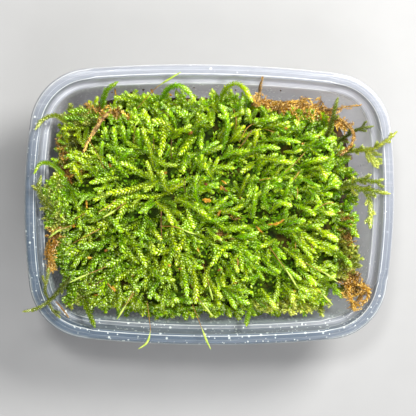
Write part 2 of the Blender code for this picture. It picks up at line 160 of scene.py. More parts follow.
def leafFinish(name, deep, cool, warm, tip, wet, dropGlints):
    # red is how fresh the leaf is, green where it lies between cool and warm, blue 0 at its base and 1 at its tip
    finish = Finish(name)
    freshness, hue, along = finish.channels("tint")
    patches = finish.noise(38, 2)
    colour = finish.mix((hue * 1.3 + patches.between(0.4, 0.65) * 0.4 - 0.35).clamped(), cool, warm)
    colour = finish.mix((freshness * 1.15 + hue * 0.15 - 0.12).clamped(), deep, colour)
    colour = finish.mix((along * freshness * 0.5 - 0.05).clamped(), colour, tip)
    # painted shade: leaves are mixed towards their deep colour towards the bottom left, where less of the lamps'
    # light falls
    x, y, z = finish.node("ShaderNodeSeparateXYZ", {}, {0: finish.where})
    colour = finish.mix((x * -3 - y * 3).between(0.02, 0.42) * 0.62, colour, deep)
    # alpha is 1 at the middle of a leaf that carries a drop of water; the drop is painted into the leaf's colour as
    # a pale spot, a painted highlight of its glint
    drop = finish.attribute("tint", "Alpha").between(0.48, 0.7) * (freshness * 0.5 + 0.45).clamped() * dropGlints
    colour = finish.mix(drop, colour, (0.66, 0.72, 0.48))
    finish.set(Base_Color=colour, Roughness=0.5 + patches * 0.15 - drop * 0.3, Coat_Weight=wet)
    finish.shader.inputs["Coat Roughness"].default_value = 0.16
    finish.shader.inputs["Coat IOR"].default_value = 1.8
    finish.shader.inputs["Specular IOR Level"].default_value = 0.08
    fine = finish.noise(1900, 2)
    finish.set(Normal=finish.bump(fine, 0.3, 0.0002))
    return finish.material


def plasticFinish():
    # red is 1 on the outside; blue is the inset from the rim's outline, in centimetres, and 0.95 on the wall
    finish = Finish("clearPlastic")
    outside, unused, inset = finish.channels("tint")
    inset = inset * 10
    x, y, z = finish.node("ShaderNodeSeparateXYZ", {}, {0: finish.where})
    wall = inset.between(8.9, 9.3)
    # painted light: the plastic is painted lighter towards the back and the right, where the lamps stand, and on
    # its outside; the noise is its own uneven milkiness
    milkAndPaintedLight = (y * 9 + x * (3.6 - wall * 1.8) + finish.noise(14, 2) * 0.5).between(-0.35, 0.85)
    # painted light: the wall at the back left, darkened by the moss's shadow, is painted lighter and made more
    # opaque
    paintedLightLeftWall = wall * (y * 8 - x * 10).between(0.5, 0.9)
    milkAndPaintedLight = (milkAndPaintedLight + outside * 0.3 + paintedLightLeftWall * 0.35).clamped()

    def line(place, half):
        return 1 - ((inset - place).size() * (1 / half)).between(0, 1)

    # painted highlights: thin bright lines where the rim bends, flecked with painted sparkle
    paintedHighlightLines = line(4.45, 0.26) + line(8.3, 0.25) + line(0.3, 0.35) * 0.8 + line(6.9, 0.16) * 0.5
    paintedHighlightLines = (paintedHighlightLines + line(2.5, 0.16) * 0.3 + line(5.3, 0.14) * 0.35).clamped()
    paintedHighlightLines = paintedHighlightLines * (0.35 + finish.noise(120, 3) * 1.3) * (1 - outside)
    band = 1 - inset.between(0.9, 1.3)
    haze = finish.noise(26, 4, 0.6)
    streaks = finish.noise(6, 3, 0.5, finish.stretched((9, 160, 9))).between(0.5, 0.8)
    streaks = streaks * (0.8 + (x * 10).between(0.55, 0.7) * wall * 2)
    # condensation beads, more of them towards the front and, on the wall, the left; their pale colour stands partly
    # for their sparkle, a painted highlight
    beads = 1 - finish.cells(270).between(0.08, 0.22)
    beads = beads * (finish.noise(34, 2) - y * 1.5).between(0.46, 0.58) * (1 - outside)
    small = (1 - finish.cells(520).between(0.1, 0.24)) * (1 - outside)
    beads = (beads + small * (finish.noise(50, 2) - y * 2.4).between(0.54, 0.64)).clamped()
    fine = 1 - finish.cells(560, finish.stretched((1, 1, 0.24))).between(0.22, 0.4)
    fine = fine * wall * (1 - outside) * (finish.noise(60, 2) - x * 2.8 - y * 0.8).between(0.36, 0.48)
    wet = (beads + fine).clamped()
    # rim, step, band, wall, streak, highlight and bead colours each run from a dark to a light end with this
    # painted light
    rimColour = finish.mix(milkAndPaintedLight, (0.06, 0.095, 0.14), (0.255, 0.275, 0.325))
    # painted light: the steep face of the rim's step, which lies in shade from the lamps, is painted lighter
    step = finish.mix(milkAndPaintedLight, (0.10, 0.125, 0.15), (0.50, 0.51, 0.58))
    rimColour = finish.mix(inset.between(4.9, 5.6), rimColour, step)
    rimColour = finish.mix(band * 0.7, rimColour, finish.mix(milkAndPaintedLight, (0.20, 0.24, 0.27), (0.40, 0.41, 0.45)))
    wallColour = finish.mix(milkAndPaintedLight, (0.20, 0.27, 0.27), (0.57, 0.56, 0.64))
    # painted light: the outside of the wall, which the lamps above barely reach, is painted lighter
    wallColour = finish.mix(outside, wallColour, finish.mix(milkAndPaintedLight, (0.55, 0.62, 0.60), (0.78, 0.80, 0.82)))
    colour = finish.mix(wall, rimColour, wallColour)
    colour = finish.mix(streaks * 0.25, colour, finish.mix(milkAndPaintedLight, (0.3, 0.32, 0.33), (0.6, 0.6, 0.64)))
    # the painted highlight lines laid over the colour
    colour = finish.mix(paintedHighlightLines.clamped() * 0.9, colour, finish.mix(milkAndPaintedLight, (0.58, 0.61, 0.60), (0.80, 0.82, 0.86)))
    # the beads' pale colour: partly their own, partly a painted highlight of their sparkle
    dropGlints = finish.mix(milkAndPaintedLight, (0.55, 0.60, 0.58), (0.88, 0.90, 0.93))
    finish.set(Base_Color=finish.mix(wet * 0.9, colour, dropGlints))
    facing = 1 - finish.node("ShaderNodeLayerWeight", {}, {"Blend": 0.5}, "Facing")
    cover = 0.66 + haze * 0.1 + wet * 0.25 + paintedHighlightLines * 0.2 - wall * (0.14 + facing * 0.3) - outside * 0.08
    # the painted light on the back left wall also raises its opacity
    cover = cover + paintedLightLeftWall * 0.15
    finish.set(Alpha=cover.clamped())
    finish.set(Roughness=0.3 + haze * 0.16 - wet * 0.15)
    finish.shader.inputs["IOR"].default_value = 1.49
    finish.shader.inputs["Subsurface Weight"].default_value = 0.6
    finish.shader.inputs["Subsurface Radius"].default_value = (1, 1, 1)
    finish.shader.inputs["Subsurface Scale"].default_value = 0.004
    finish.shader.inputs["Coat Weight"].default_value = 0.25
    finish.shader.inputs["Coat Roughness"].default_value = 0.06
    height = wet * 0.8 + streaks * 0.3 + finish.noise(900, 2) * 0.08
    finish.set(Normal=finish.bump(height, 0.35, 0.0003))
    return finish.material


def bedFinish():
    finish = Finish("mossBed")
    clumps = finish.noise(260, 4, 0.65)
    # the bed's greens run down to near black, painted shade of the deep gaps between the shoots; the brown spots
    # are its own colour
    colour = finish.mix(clumps.between(0.35, 0.7), (0.004, 0.007, 0.0004), (0.035, 0.075, 0.001))
    colour = finish.mix(finish.noise(90, 3).between(0.5, 0.65) * clumps, colour, (0.04, 0.015, 0.003))
    finish.set(Base_Color=colour, Roughness=0.75 + clumps * 0.25)
    finish.shader.inputs["Specular IOR Level"].default_value = 0.1
    finish.set(Normal=finish.bump(clumps, 0.9, 0.002))
    return finish.material


def litterFinish():
    finish = Finish("oldMoss")
    clumps = finish.noise(330, 5, 0.65)
    bits = finish.noise(120, 3)
    colour = finish.mix(clumps.between(0.35, 0.7), (0.014, 0.006, 0.002), (0.11, 0.05, 0.014))
    colour = finish.mix(bits.between(0.55, 0.7), colour, (0.05, 0.06, 0.01))
    finish.set(Base_Color=colour, Roughness=0.5 + clumps * 0.35)
    finish.set(Normal=finish.bump(clumps, 1.0, 0.002))
    return finish.material


def stalkFinish():
    # red is 0 on the stalk and 1 on the hood, green how golden the stalk is
    finish = Finish("sporeStalk")
    hood, golden, along = finish.channels("tint")
    streak = finish.noise(700, 3)
    dark = finish.mix(streak.between(0.3, 0.7), (0.05, 0.014, 0.004), (0.14, 0.045, 0.008))
    straw = finish.mix(streak.between(0.3, 0.7), (0.28, 0.13, 0.015), (0.55, 0.33, 0.07))
    stalk = finish.mix(golden, dark, straw)
    cap = finish.mix(streak.between(0.3, 0.7), (0.24, 0.36, 0.03), (0.48, 0.56, 0.11))
    finish.set(Base_Color=finish.mix(hood, stalk, cap), Roughness=0.35 + streak * 0.2)
    finish.set(Normal=finish.bump(streak, 0.4, 0.0001))
    return finish.material


def strawFinish():
    finish = Finish("deadStem")
    fibre = finish.noise(500, 4, 0.7)
    colour = finish.mix(fibre.between(0.4, 0.6), (0.09, 0.035, 0.006), (0.44, 0.28, 0.09))
    colour = finish.mix(finish.noise(210, 2).between(0.5, 0.62) * 0.75, colour, (0.10, 0.05, 0.010))
    finish.set(Base_Color=colour, Roughness=0.6 + fibre * 0.25)
    finish.set(Normal=finish.bump(fibre, 0.9, 0.0004))
    return finish.material


def flakeFinish():
    finish = Finish("litterFlake")
    kind, chance, along = finish.channels("tint")
    colour = finish.mix(kind, (0.055, 0.018, 0.004), (0.36, 0.20, 0.005))
    colour = finish.mix(finish.noise(1300, 3).between(0.42, 0.58) * 0.75, colour, (0.16, 0.05, 0.008))
    colour = finish.mix(finish.noise(900, 2).between(0.58, 0.66) * 0.6, colour, (0.70, 0.50, 0.08))
    finish.set(Base_Color=colour, Roughness=0.45 + chance * 0.3)
    finish.shader.inputs["Specular IOR Level"].default_value = 0.15
    return finish.material


def floorFinish():
    finish = Finish("paleFloor")
    grain = finish.noise(60, 3)
    finish.set(Base_Color=finish.mix(grain, (0.33, 0.33, 0.335), (0.35, 0.35, 0.355)), Roughness=0.85)
    finish.shader.inputs["Specular IOR Level"].default_value = 0.2
    return finish.material


# ---- shapes shared with the part's own solids, in metres

tub = {
    "length": 172 * mm,
    "width": 130.4 * mm,
    "height": 50 * mm,
    "wall": 0.8 * mm,
    "longSideRadius": 586 * mm,
    "shortSideRadius": 283 * mm,
    "cornerRadius": 28.2 * mm,
    "steps": (14, 16, 10),
}

mat = {
    "crown": 44.5 * mm,
    "edgeDrop": 10 * mm,
    "base": 29.5 * mm,
    "reach": (67 * mm, 48.5 * mm),
    "middle": (-4 * mm, -2 * mm),
    "ripple": 1.4 * mm,
    "notch": 0.16,
    "fanCentre": (-21 * mm, 7 * mm),
    "seed": 5,
}

layer = {
    "top": 29 * mm,
    "base": 1.2 * mm,
    "reach": (70.5 * mm, 51 * mm),
    "foot": (67 * mm, 46 * mm),
    "middle": (-2.5 * mm, 0.2 * mm),
}


def smoothstep(value, low, high):
    share = min(max((value - low) / (high - low), 0), 1)
    return share * share * (3 - 2 * share)


def footprintRadius(angle, reach, power=4.6):
    across = abs(math.cos(angle) / reach[0]) ** power
    along = abs(math.sin(angle) / reach[1]) ** power
    return (across + along) ** (-1 / power)


def onFootprint(u, v, reach, middle, notch=0):
    if u == 0 and v == 0:
        return middle
    angle = math.atan2(v * reach[1], u * reach[0])
    out = max(abs(u), abs(v)) * footprintRadius(angle, reach)
    x = middle[0] + out * math.cos(angle)
    y = middle[1] + out * math.sin(angle)
    if y > 0:
        y *= 1 - notch * smoothstep(x, 8 * mm, 26 * mm)
    return x, y


def matHeight(x, y):
    across = abs((x - mat["middle"][0]) / mat["reach"][0])
    along = abs((y - mat["middle"][1]) / mat["reach"][1])
    edge = across**4.6 + along**4.6
    bumps = noise.noise(Vector((x * 70, y * 70, 0.7)))
    return mat["crown"] - mat["edgeDrop"] * smoothstep(edge, 0.35, 1.25) + mat["ripple"] * bumps


def arcPoints(centre, radius, start, stop, steps):
    angles = [start + (stop - start) * step / steps for step in range(steps)]
    return [(centre[0] + radius * math.cos(a), centre[1] + radius * math.sin(a)) for a in angles]


def tubOutline(inset):
    # the rim's bowed rectangle, moved in by inset, as points all the way round
    length = tub["length"] / 2
    width = tub["width"] / 2
    longRadius = tub["longSideRadius"]
    shortRadius = tub["shortSideRadius"]
    longCentre = (0, width - longRadius)
    shortCentre = (length - shortRadius, 0)
    toLong = longRadius - tub["cornerRadius"]
    toShort = shortRadius - tub["cornerRadius"]
    apart = math.hypot(shortCentre[0], longCentre[1])
    along = (toLong**2 - toShort**2 + apart**2) / (2 * apart)
    aside = math.sqrt(toLong**2 - along**2)
    ux, uy = shortCentre[0] / apart, -longCentre[1] / apart
    corner = (ux * along + uy * aside, longCentre[1] + uy * along - ux * aside)
    low = math.atan2(corner[1], corner[0] - shortCentre[0])
    high = math.atan2(corner[1] - longCentre[1], corner[0])
    longSteps, cornerSteps, shortSteps = tub["steps"]
    quarter = arcPoints(shortCentre, shortRadius - inset, 0, low, shortSteps)
    quarter += arcPoints(corner, tub["cornerRadius"] - inset, low, high, cornerSteps)
    quarter += arcPoints(longCentre, longRadius - inset, high, math.pi / 2, longSteps)
    half = quarter + [(0, width - inset)] + [(-x, y) for x, y in reversed(quarter)]
    return half + [(x, -y) for x, y in reversed(half[1:-1])]


def insideTub(point, room):
    # how far inside the tub's inner wall a point lies, less the room it needs
    inset = wallInset(point.z) + room
    x, y = abs(point.x), abs(point.y)
    longSide = tub["width"] / 2 - inset - x * x / (2 * tub["longSideRadius"])
    shortSide = tub["length"] / 2 - inset - y * y / (2 * tub["shortSideRadius"])
    ends = (tub["length"] / 2 - 31 * mm, tub["width"] / 2 - 31.5 * mm)
    corner = 28.2 * mm - inset
    if x > ends[0] and y > ends[1]:
        return corner - math.hypot(x - ends[0], y - ends[1])
    return min(longSide - y, shortSide - x)


def wallInset(z):
    steps = ((0, 17), (1, 15), (3, 13.2), (6.4, 12.4), (41.8, 9.0), (43, 7.2), (44.4, 6.1), (49, 5.6), (50, 4))
    heights, insets = zip(*steps)
    return float(np.interp(z / mm, heights, insets)) * mm


# ---- small helpers

def finishPiece(piece, material, slot, *nodes):
    piece.data.materials.clear()
    piece.data.materials.append(material)
    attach(piece, "root")
    if nodes:
        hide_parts(*nodes)
    return piece


def catmullRom(points, spacing):
    # a smooth curve through the points, cut into even steps
    picked = np.array([tuple(p) for p in points], float)
    ends = np.vstack([2 * picked[0] - picked[1], picked, 2 * picked[-1] - picked[-2]])
    share = np.linspace(0, 1, 12, endpoint=False)[:, None]
    runs = []
    for a, b, c, d in zip(ends, ends[1:], ends[2:], ends[3:]):
        cubic = 2 * b + (c - a) * share + (2 * a - 5 * b + 4 * c - d) * share**2
        runs.append(0.5 * (cubic + (3 * b - a - 3 * c + d) * share**3))
    path = np.vstack(runs + [picked[-1:]])
    lengths = np.concatenate([[0], np.cumsum(np.linalg.norm(np.diff(path, axis=0), axis=1))])
    count = max(int(lengths[-1] / spacing), 3)
    places = np.linspace(0, lengths[-1], count)
    return np.stack([np.interp(places, lengths, path[:, k]) for k in range(3)], axis=1)


def unit(vectors):
    return vectors / np.maximum(np.linalg.norm(vectors, axis=-1, keepdims=True), 1e-12)


def framesAlong(path):
    # tangent, upward side and sideways direction at each point
    tangent = unit(np.gradient(path, axis=0))
    side = np.cross(tangent, np.array([0, 0, 1.0]))
    weak = np.linalg.norm(side, axis=1) < 0.2
    side[weak] = np.cross(tangent[weak], np.array([0.3, 1.0, 0]))
    side = unit(side)
    return tangent, unit(np.cross(side, tangent)), side


# ---- leafy shoots: every leaf is the same small spoon, turned, sized and tinted

leafShape = {
    "outline": ((0, 0), (0.3, 0.5), (0.72, 0.42), (1, 0), (0.72, -0.42), (0.3, -0.5)),
    "middle": (0.5, 0),
    "curl": 0.15,
    "swell": 0.22,
    # share of leaves whose middle gets a painted highlight of a water drop
    "dropGlints": 0.7,
}

shootStyle = {
    "leafSpacing": 0.17 * mm,
    "leafLength": 2.0 * mm,
    "leafWidth": 1.15 * mm,
    "lean": 0.95,
    "tipLean": 0.35,
    "turn": 2.3999,
    "stemRadius": 0.4 * mm,
    "flatten": 0.62,
}


class LeafPile:
    # gathers leaves and stems of many shoots, then becomes one mesh
    def __init__(self):
        self.rows = []
        self.stems = []

    def shoot(self, path, draw, fresh=0.6, scale=1.0, style=shootStyle, bare=0.0):
        steps = catmullRom(path, style["leafSpacing"] * scale)
        count = len(steps)
        tangent, up, side = framesAlong(steps)
        share = np.linspace(0, 1, count)
        turn = style["turn"] * np.arange(count) + draw.uniform(0, 6)
        out = np.cos(turn)[:, None] * side + (np.sin(turn) * style["flatten"])[:, None] * up
        out = unit(out)
        lean = style["lean"] + (style["tipLean"] - style["lean"]) * np.clip((share - 0.8) / 0.2, 0, 1)
        jitter = np.array([draw.gauss(0, 0.1) for _ in range(count)])
        lean = np.clip(lean + jitter, 0.1, 1.3)
        along = unit(tangent * np.cos(lean)[:, None] + out * np.sin(lean)[:, None])
        face = unit(out - along * np.sum(out * along, axis=1)[:, None])
        across = np.cross(face, along)
        taper = np.clip(0.62 + share * 2.2, 0, 1) * np.clip((1 - share) * 6 + 0.45, 0, 1)
        size = taper * scale * np.array([draw.uniform(0.82, 1.14) for _ in range(count)])
        hue = draw.random()
        chance = hue * 0.6 + 0.4 * np.array([draw.random() for _ in range(count)])
        young = np.clip(fresh * (0.62 + 0.6 * share), 0, 1)
        keep = np.array([draw.random() >= bare for _ in range(count)])
        block = np.hstack([
            steps + out * 0.1 * mm, along, across, face,
            (size * style["leafLength"])[:, None], (size * style["leafWidth"])[:, None],
            young[:, None], chance[:, None],
        ])
        self.rows.append(block[keep])
        self.stems.append((steps[::6], style["stemRadius"] * scale, fresh, hue))

    def strew(self, points, draw, fresh, length):
        # single leaves lying every way
        count = len(points)
        turn = np.array([draw.uniform(0, math.tau) for _ in range(count)])
        tilt = np.array([draw.uniform(-0.5, 0.9) for _ in range(count)])
        along = np.stack([np.cos(turn) * np.cos(tilt), np.sin(turn) * np.cos(tilt), np.sin(tilt)], axis=1)
        across = np.stack([-np.sin(turn), np.cos(turn), np.zeros(count)], axis=1)
        sizes = np.array([[draw.uniform(*length), 0, draw.uniform(*fresh), draw.random()] for _ in range(count)])
        sizes[:, 1] = sizes[:, 0] * 0.62
        self.rows.append(np.hstack([points, along, across, np.cross(along, across), sizes]))

    def leaves(self):
        return sum(len(block) for block in self.rows)

    def build(self, name):
        table = np.vstack(self.rows)
        at, along, across, face = (table[:, k:k + 3] for k in (0, 3, 6, 9))
        length, width = table[:, 12:13], table[:, 13:14]
        corners = list(leafShape["outline"]) + [leafShape["middle"]]
        points = []
        for number, (u, v) in enumerate(corners):
            lift = leafShape["swell"] * (number == len(corners) - 1) - leafShape["curl"] * u * u
            lift += 0.08 * (1 if u == 0 else 0)
            points.append(at + along * (u * length) + across * (v * width) + face * (lift * width))
        corner = len(corners)
        vertices = np.stack(points, axis=1).reshape(-1, 3)
        base = np.arange(len(table))[:, None, None] * corner
        rim = corner - 1
        fan = np.array([[k, (k + 1) % rim, rim] for k in range(rim)])
        triangles = (base + fan[None]).reshape(-1, 3)
        shade = np.ones((len(table), corner, 4))
        shade[:, :, 0] = table[:, 14:15]
        shade[:, :, 1] = table[:, 15:16]
        shade[:, :, 2] = np.array([u for u, v in corners])[None]
        shade[:, :, 3] = 0
        # alpha marks the leaves whose middle gets a painted highlight of a water drop
        shade[:, -1, 3] = np.random.default_rng(3).random(len(table)) < leafShape["dropGlints"]
        shade = shade.reshape(-1, 4)
        stemPoints, stemFaces, stemShade = self.stemArrays(len(vertices))
        vertices = np.vstack([vertices, stemPoints])
        triangles = np.vstack([triangles, stemFaces])
        shade = np.vstack([shade, stemShade])
        return meshFromArrays(name, vertices, triangles, shade)

    def stemArrays(self, start):
        points, faces, shade = [], [], []
        for path, radius, fresh, hue in self.stems:
            if len(path) < 2:
                continue
            tangent, up, side = framesAlong(path)
            ring = []
            for k in range(3):
                angle = k * math.tau / 3
                ring.append(path + radius * (math.cos(angle) * side + math.sin(angle) * up))
            points.append(np.stack(ring, axis=1).reshape(-1, 3))
            count = len(path)
            for k in range(3):
                a = start + np.arange(count - 1) * 3 + k
                b = start + np.arange(count - 1) * 3 + (k + 1) % 3
                faces.append(np.stack([a, b, b + 3], axis=1))
                faces.append(np.stack([a, b + 3, a + 3], axis=1))
            tint = np.ones((count * 3, 4)) * np.array([0.7 * fresh, hue, 0, 0])
            shade.append(tint)
            start += count * 3
        if not points:
            return np.zeros((0, 3)), np.zeros((0, 3), int), np.zeros((0, 4))
        return np.vstack(points), np.vstack(faces), np.vstack(shade)


def meshFromArrays(name, vertices, triangles, shade):
    mesh = bpy.data.meshes.new(name)
    mesh.vertices.add(len(vertices))
    mesh.vertices.foreach_set("co", np.ascontiguousarray(vertices, np.float32).ravel())
    mesh.loops.add(triangles.size)
    mesh.loops.foreach_set("vertex_index", np.ascontiguousarray(triangles, np.int32).ravel())
    mesh.polygons.add(len(triangles))
    mesh.polygons.foreach_set("loop_start", np.arange(0, triangles.size, 3, dtype=np.int32))
    mesh.update(calc_edges=True)
    tint = mesh.color_attributes.new("tint", "FLOAT_COLOR", "POINT")
    tint.data.foreach_set("color", np.ascontiguousarray(shade, np.float32).ravel())
    mesh.validate()
    mesh.shade_smooth()
    piece = bpy.data.objects.new(name, mesh)
    bpy.context.scene.collection.objects.link(piece)
    return piece


# ---- where the shoots of the mat grow

loose = {
    "shoot_left_corner": [
        [(-63, 35, 38), (-68, 38, 45), (-72, 40.5, 50.5), (-77, 38.5, 53.4), (-80.5, 34, 53.2)]
    ],
    "shoot_left_arch": [
        [(-65, 10, 38), (-70, 15, 45), (-74, 18.5, 51), (-78, 18.5, 54), (-81, 14, 53.4)]
    ],
    "shoot_left_edge": [
        [(-66, -8, 38), (-71, -4, 44), (-75.5, 0, 50.5), (-78.8, 6, 53.4), (-78, 12.5, 53.6)]
    ],
    "shoot_back_left_upright": [
        [(-53, 38, 38), (-51, 44, 43), (-50, 49, 47.5), (-48.5, 52.5, 50), (-44, 56, 51)]
    ],
    "shoot_back_arch": [
        [(-25, 44, 38), (-23, 50, 44), (-20, 54, 49), (-16, 55, 51.5), (-12, 53, 50), (-8, 48, 47.6)]
    ],
    "shoot_back_loop": [
        [(3, 43, 38), (4, 49, 44), (6, 54, 50), (10, 56.5, 52), (14.5, 54, 51.5), (18.5, 48.5, 47)]
    ],
    "shoot_back_right_upright": [
        [(54, 29, 38), (55, 35, 44), (56, 41, 48.5), (56.5, 46, 50.5), (57.5, 50.5, 51.5)]
    ],
    "shoot_right_olive": [
        [(58, 29, 38), (63, 33, 44), (68, 36.5, 48.5), (74.5, 38, 50.5)]
    ],
    "shoot_right_over_rim": [
        [(58, 22, 38), (64, 26, 45), (70, 27, 51), (75, 28, 54), (80, 31.5, 55), (84.5, 35.5, 55.5)],
        [(70, 27, 51), (74, 24, 52.3), (77.5, 20.5, 52)],
    ],
    "shoot_right_fork": [
        [(58, 8, 38), (64, 9.5, 45), (70, 9, 49.5), (76, 8, 53.2), (82, 7, 54.2)],
        [(64, 9.5, 45), (69, 13, 49), (75, 12.5, 53.2), (79, 13.5, 54.4)],
        [(70, 9, 49.5), (74, 4, 49), (75, -3, 47.5), (75.6, -10, 45)],
    ],
    "shoot_front_left_over_rim": [
        [(-62, -32, 38), (-68, -38, 46), (-73, -43.5, 52), (-79, -47.5, 54), (-85.5, -49, 54.5)],
        [(-74, -44, 52.2), (-75.8, -39.5, 52.8), (-75, -34, 51.5), (-74.5, -29.5, 49.5)],
        [(-74.5, -44.5, 52.4), (-72, -49, 52.4), (-69, -52, 52.2)],
    ],
    "shoot_front_left_short": [
        [(-60, -40, 38), (-58, -46, 44), (-55.5, -51, 49.5), (-53, -56, 52.4)]
    ],
    "shoot_front_middle": [
        [(19, -41, 38), (20, -46, 43), (18, -51.5, 48.5), (17, -55, 52.2)]
    ],
}

tufts = {
    "brown_tuft_right": [
        [(60, -33, 38), (65, -34.5, 42), (69.5, -36, 46.5), (73.5, -38, 48), (74.5, -41.5, 48.3),
         (72, -45.5, 47.5)],
        [(65, -34.5, 42), (65.5, -39, 45.5), (67, -43.5, 47.5), (68.5, -47.5, 47.8)],
    ],
    "brown_tuft_left": [
        [(-62, -16, 36), (-67.5, -17.5, 40), (-72.5, -20, 43), (-74.3, -25, 45), (-73.3, -31.5, 44.5)],
        [(-67.5, -17.5, 40), (-71.5, -15, 43), (-73.5, -10.5, 45)],
    ],
}

strands = [
    [(20, 47, 28), (27, 48.5, 38), (35, 47, 40)],
    [(24, 45.5, 28), (31, 46.5, 40), (39, 45.5, 41)],
    [(31, 46, 28), (39, 48.5, 37), (46, 47, 39)],
    [(36, 44.5, 28), (43, 45, 40), (51, 43.5, 40)],
    [(43, 45, 28), (51, 47, 37), (58, 44, 38)],
    [(50, 41, 28), (56, 42.5, 39), (61, 39.5, 39)],
    [(56, 40, 27), (62, 40, 34), (64.5, 35, 36)],
    [(-62, 12, 24), (-70, 13, 34), (-71.5, 7, 36)],
    [(-60, 22, 24), (-69.5, 25, 33), (-70.5, 18, 35)],
]

stalks = [
    [(-29, -46, 42), (-28, -53, 49), (-27.5, -58, 53), (-29, -63, 54.5), (-33, -66, 55)],
    [(-9, -44, 42), (-6, -51, 49.5), (-3.5, -57, 53.5), (-1.5, -62, 54.5), (0.5, -66, 55)],
    [(-36, 43, 42), (-30, 50, 48), (-26, 54, 50.5), (-20, 58, 53), (-15, 61, 54.5)],
    [(-43, -26, 43), (-49, -29, 49), (-55, -31.5, 50.5), (-60, -33.5, 51.5), (-65, -36, 52)],
    [(-37, 2, 43), (-41, 0, 49), (-45, -3, 50.5), (-50, -6, 51)],
    [(-9, -37, 43), (-5.5, -43, 49.5), (-2, -47, 51), (1.5, -51.5, 51.5)],
    [(-3, -28, 43), (-1, -35, 49.5), (0, -39, 50.5), (1.5, -44, 50)],
    [(42, -25, 43), (49, -28.5, 49.5), (54, -31, 50.5), (60, -35, 50)],
    [(25, -15, 43), (32, -25, 49.5), (36.5, -31, 51), (41, -38, 50.5)],
    [(45, -34, 42), (50, -38.5, 48.5), (54, -42, 49.5), (58, -46, 49)],
    [(-61, -9, 43), (-66, -10.5, 49), (-70, -12, 50.5), (-74.5, -15.5, 50)],
    [(-34, -36, 43), (-37, -43, 49.5), (-40, -48, 51), (-43, -53, 51)],
]

deadStems = {
    "dry_stem_left": (1.1, [(-48, 43, 43), (-51, 39, 49), (-54, 34, 51), (-57, 28.5, 50.5), (-59, 24, 49)]),
    "dead_stem_right": (0.7, [(50, 45.5, 42.5), (57, 45.5, 44.5), (63, 47, 46), (69.5, 48, 46.5)]),
    "dead_stem_back": (0.9, [(20.5, 47, 44.5), (21.5, 51, 46), (22, 55, 48.5), (22.3, 59.5, 51.8)]),
    "dead_stem_curl": (0.8, [(59.5, 41, 42.5), (63.5, 38.5, 47.5), (65.5, 34, 51), (64, 29, 52.5),
                             (59.5, 24.5, 51)]),
}


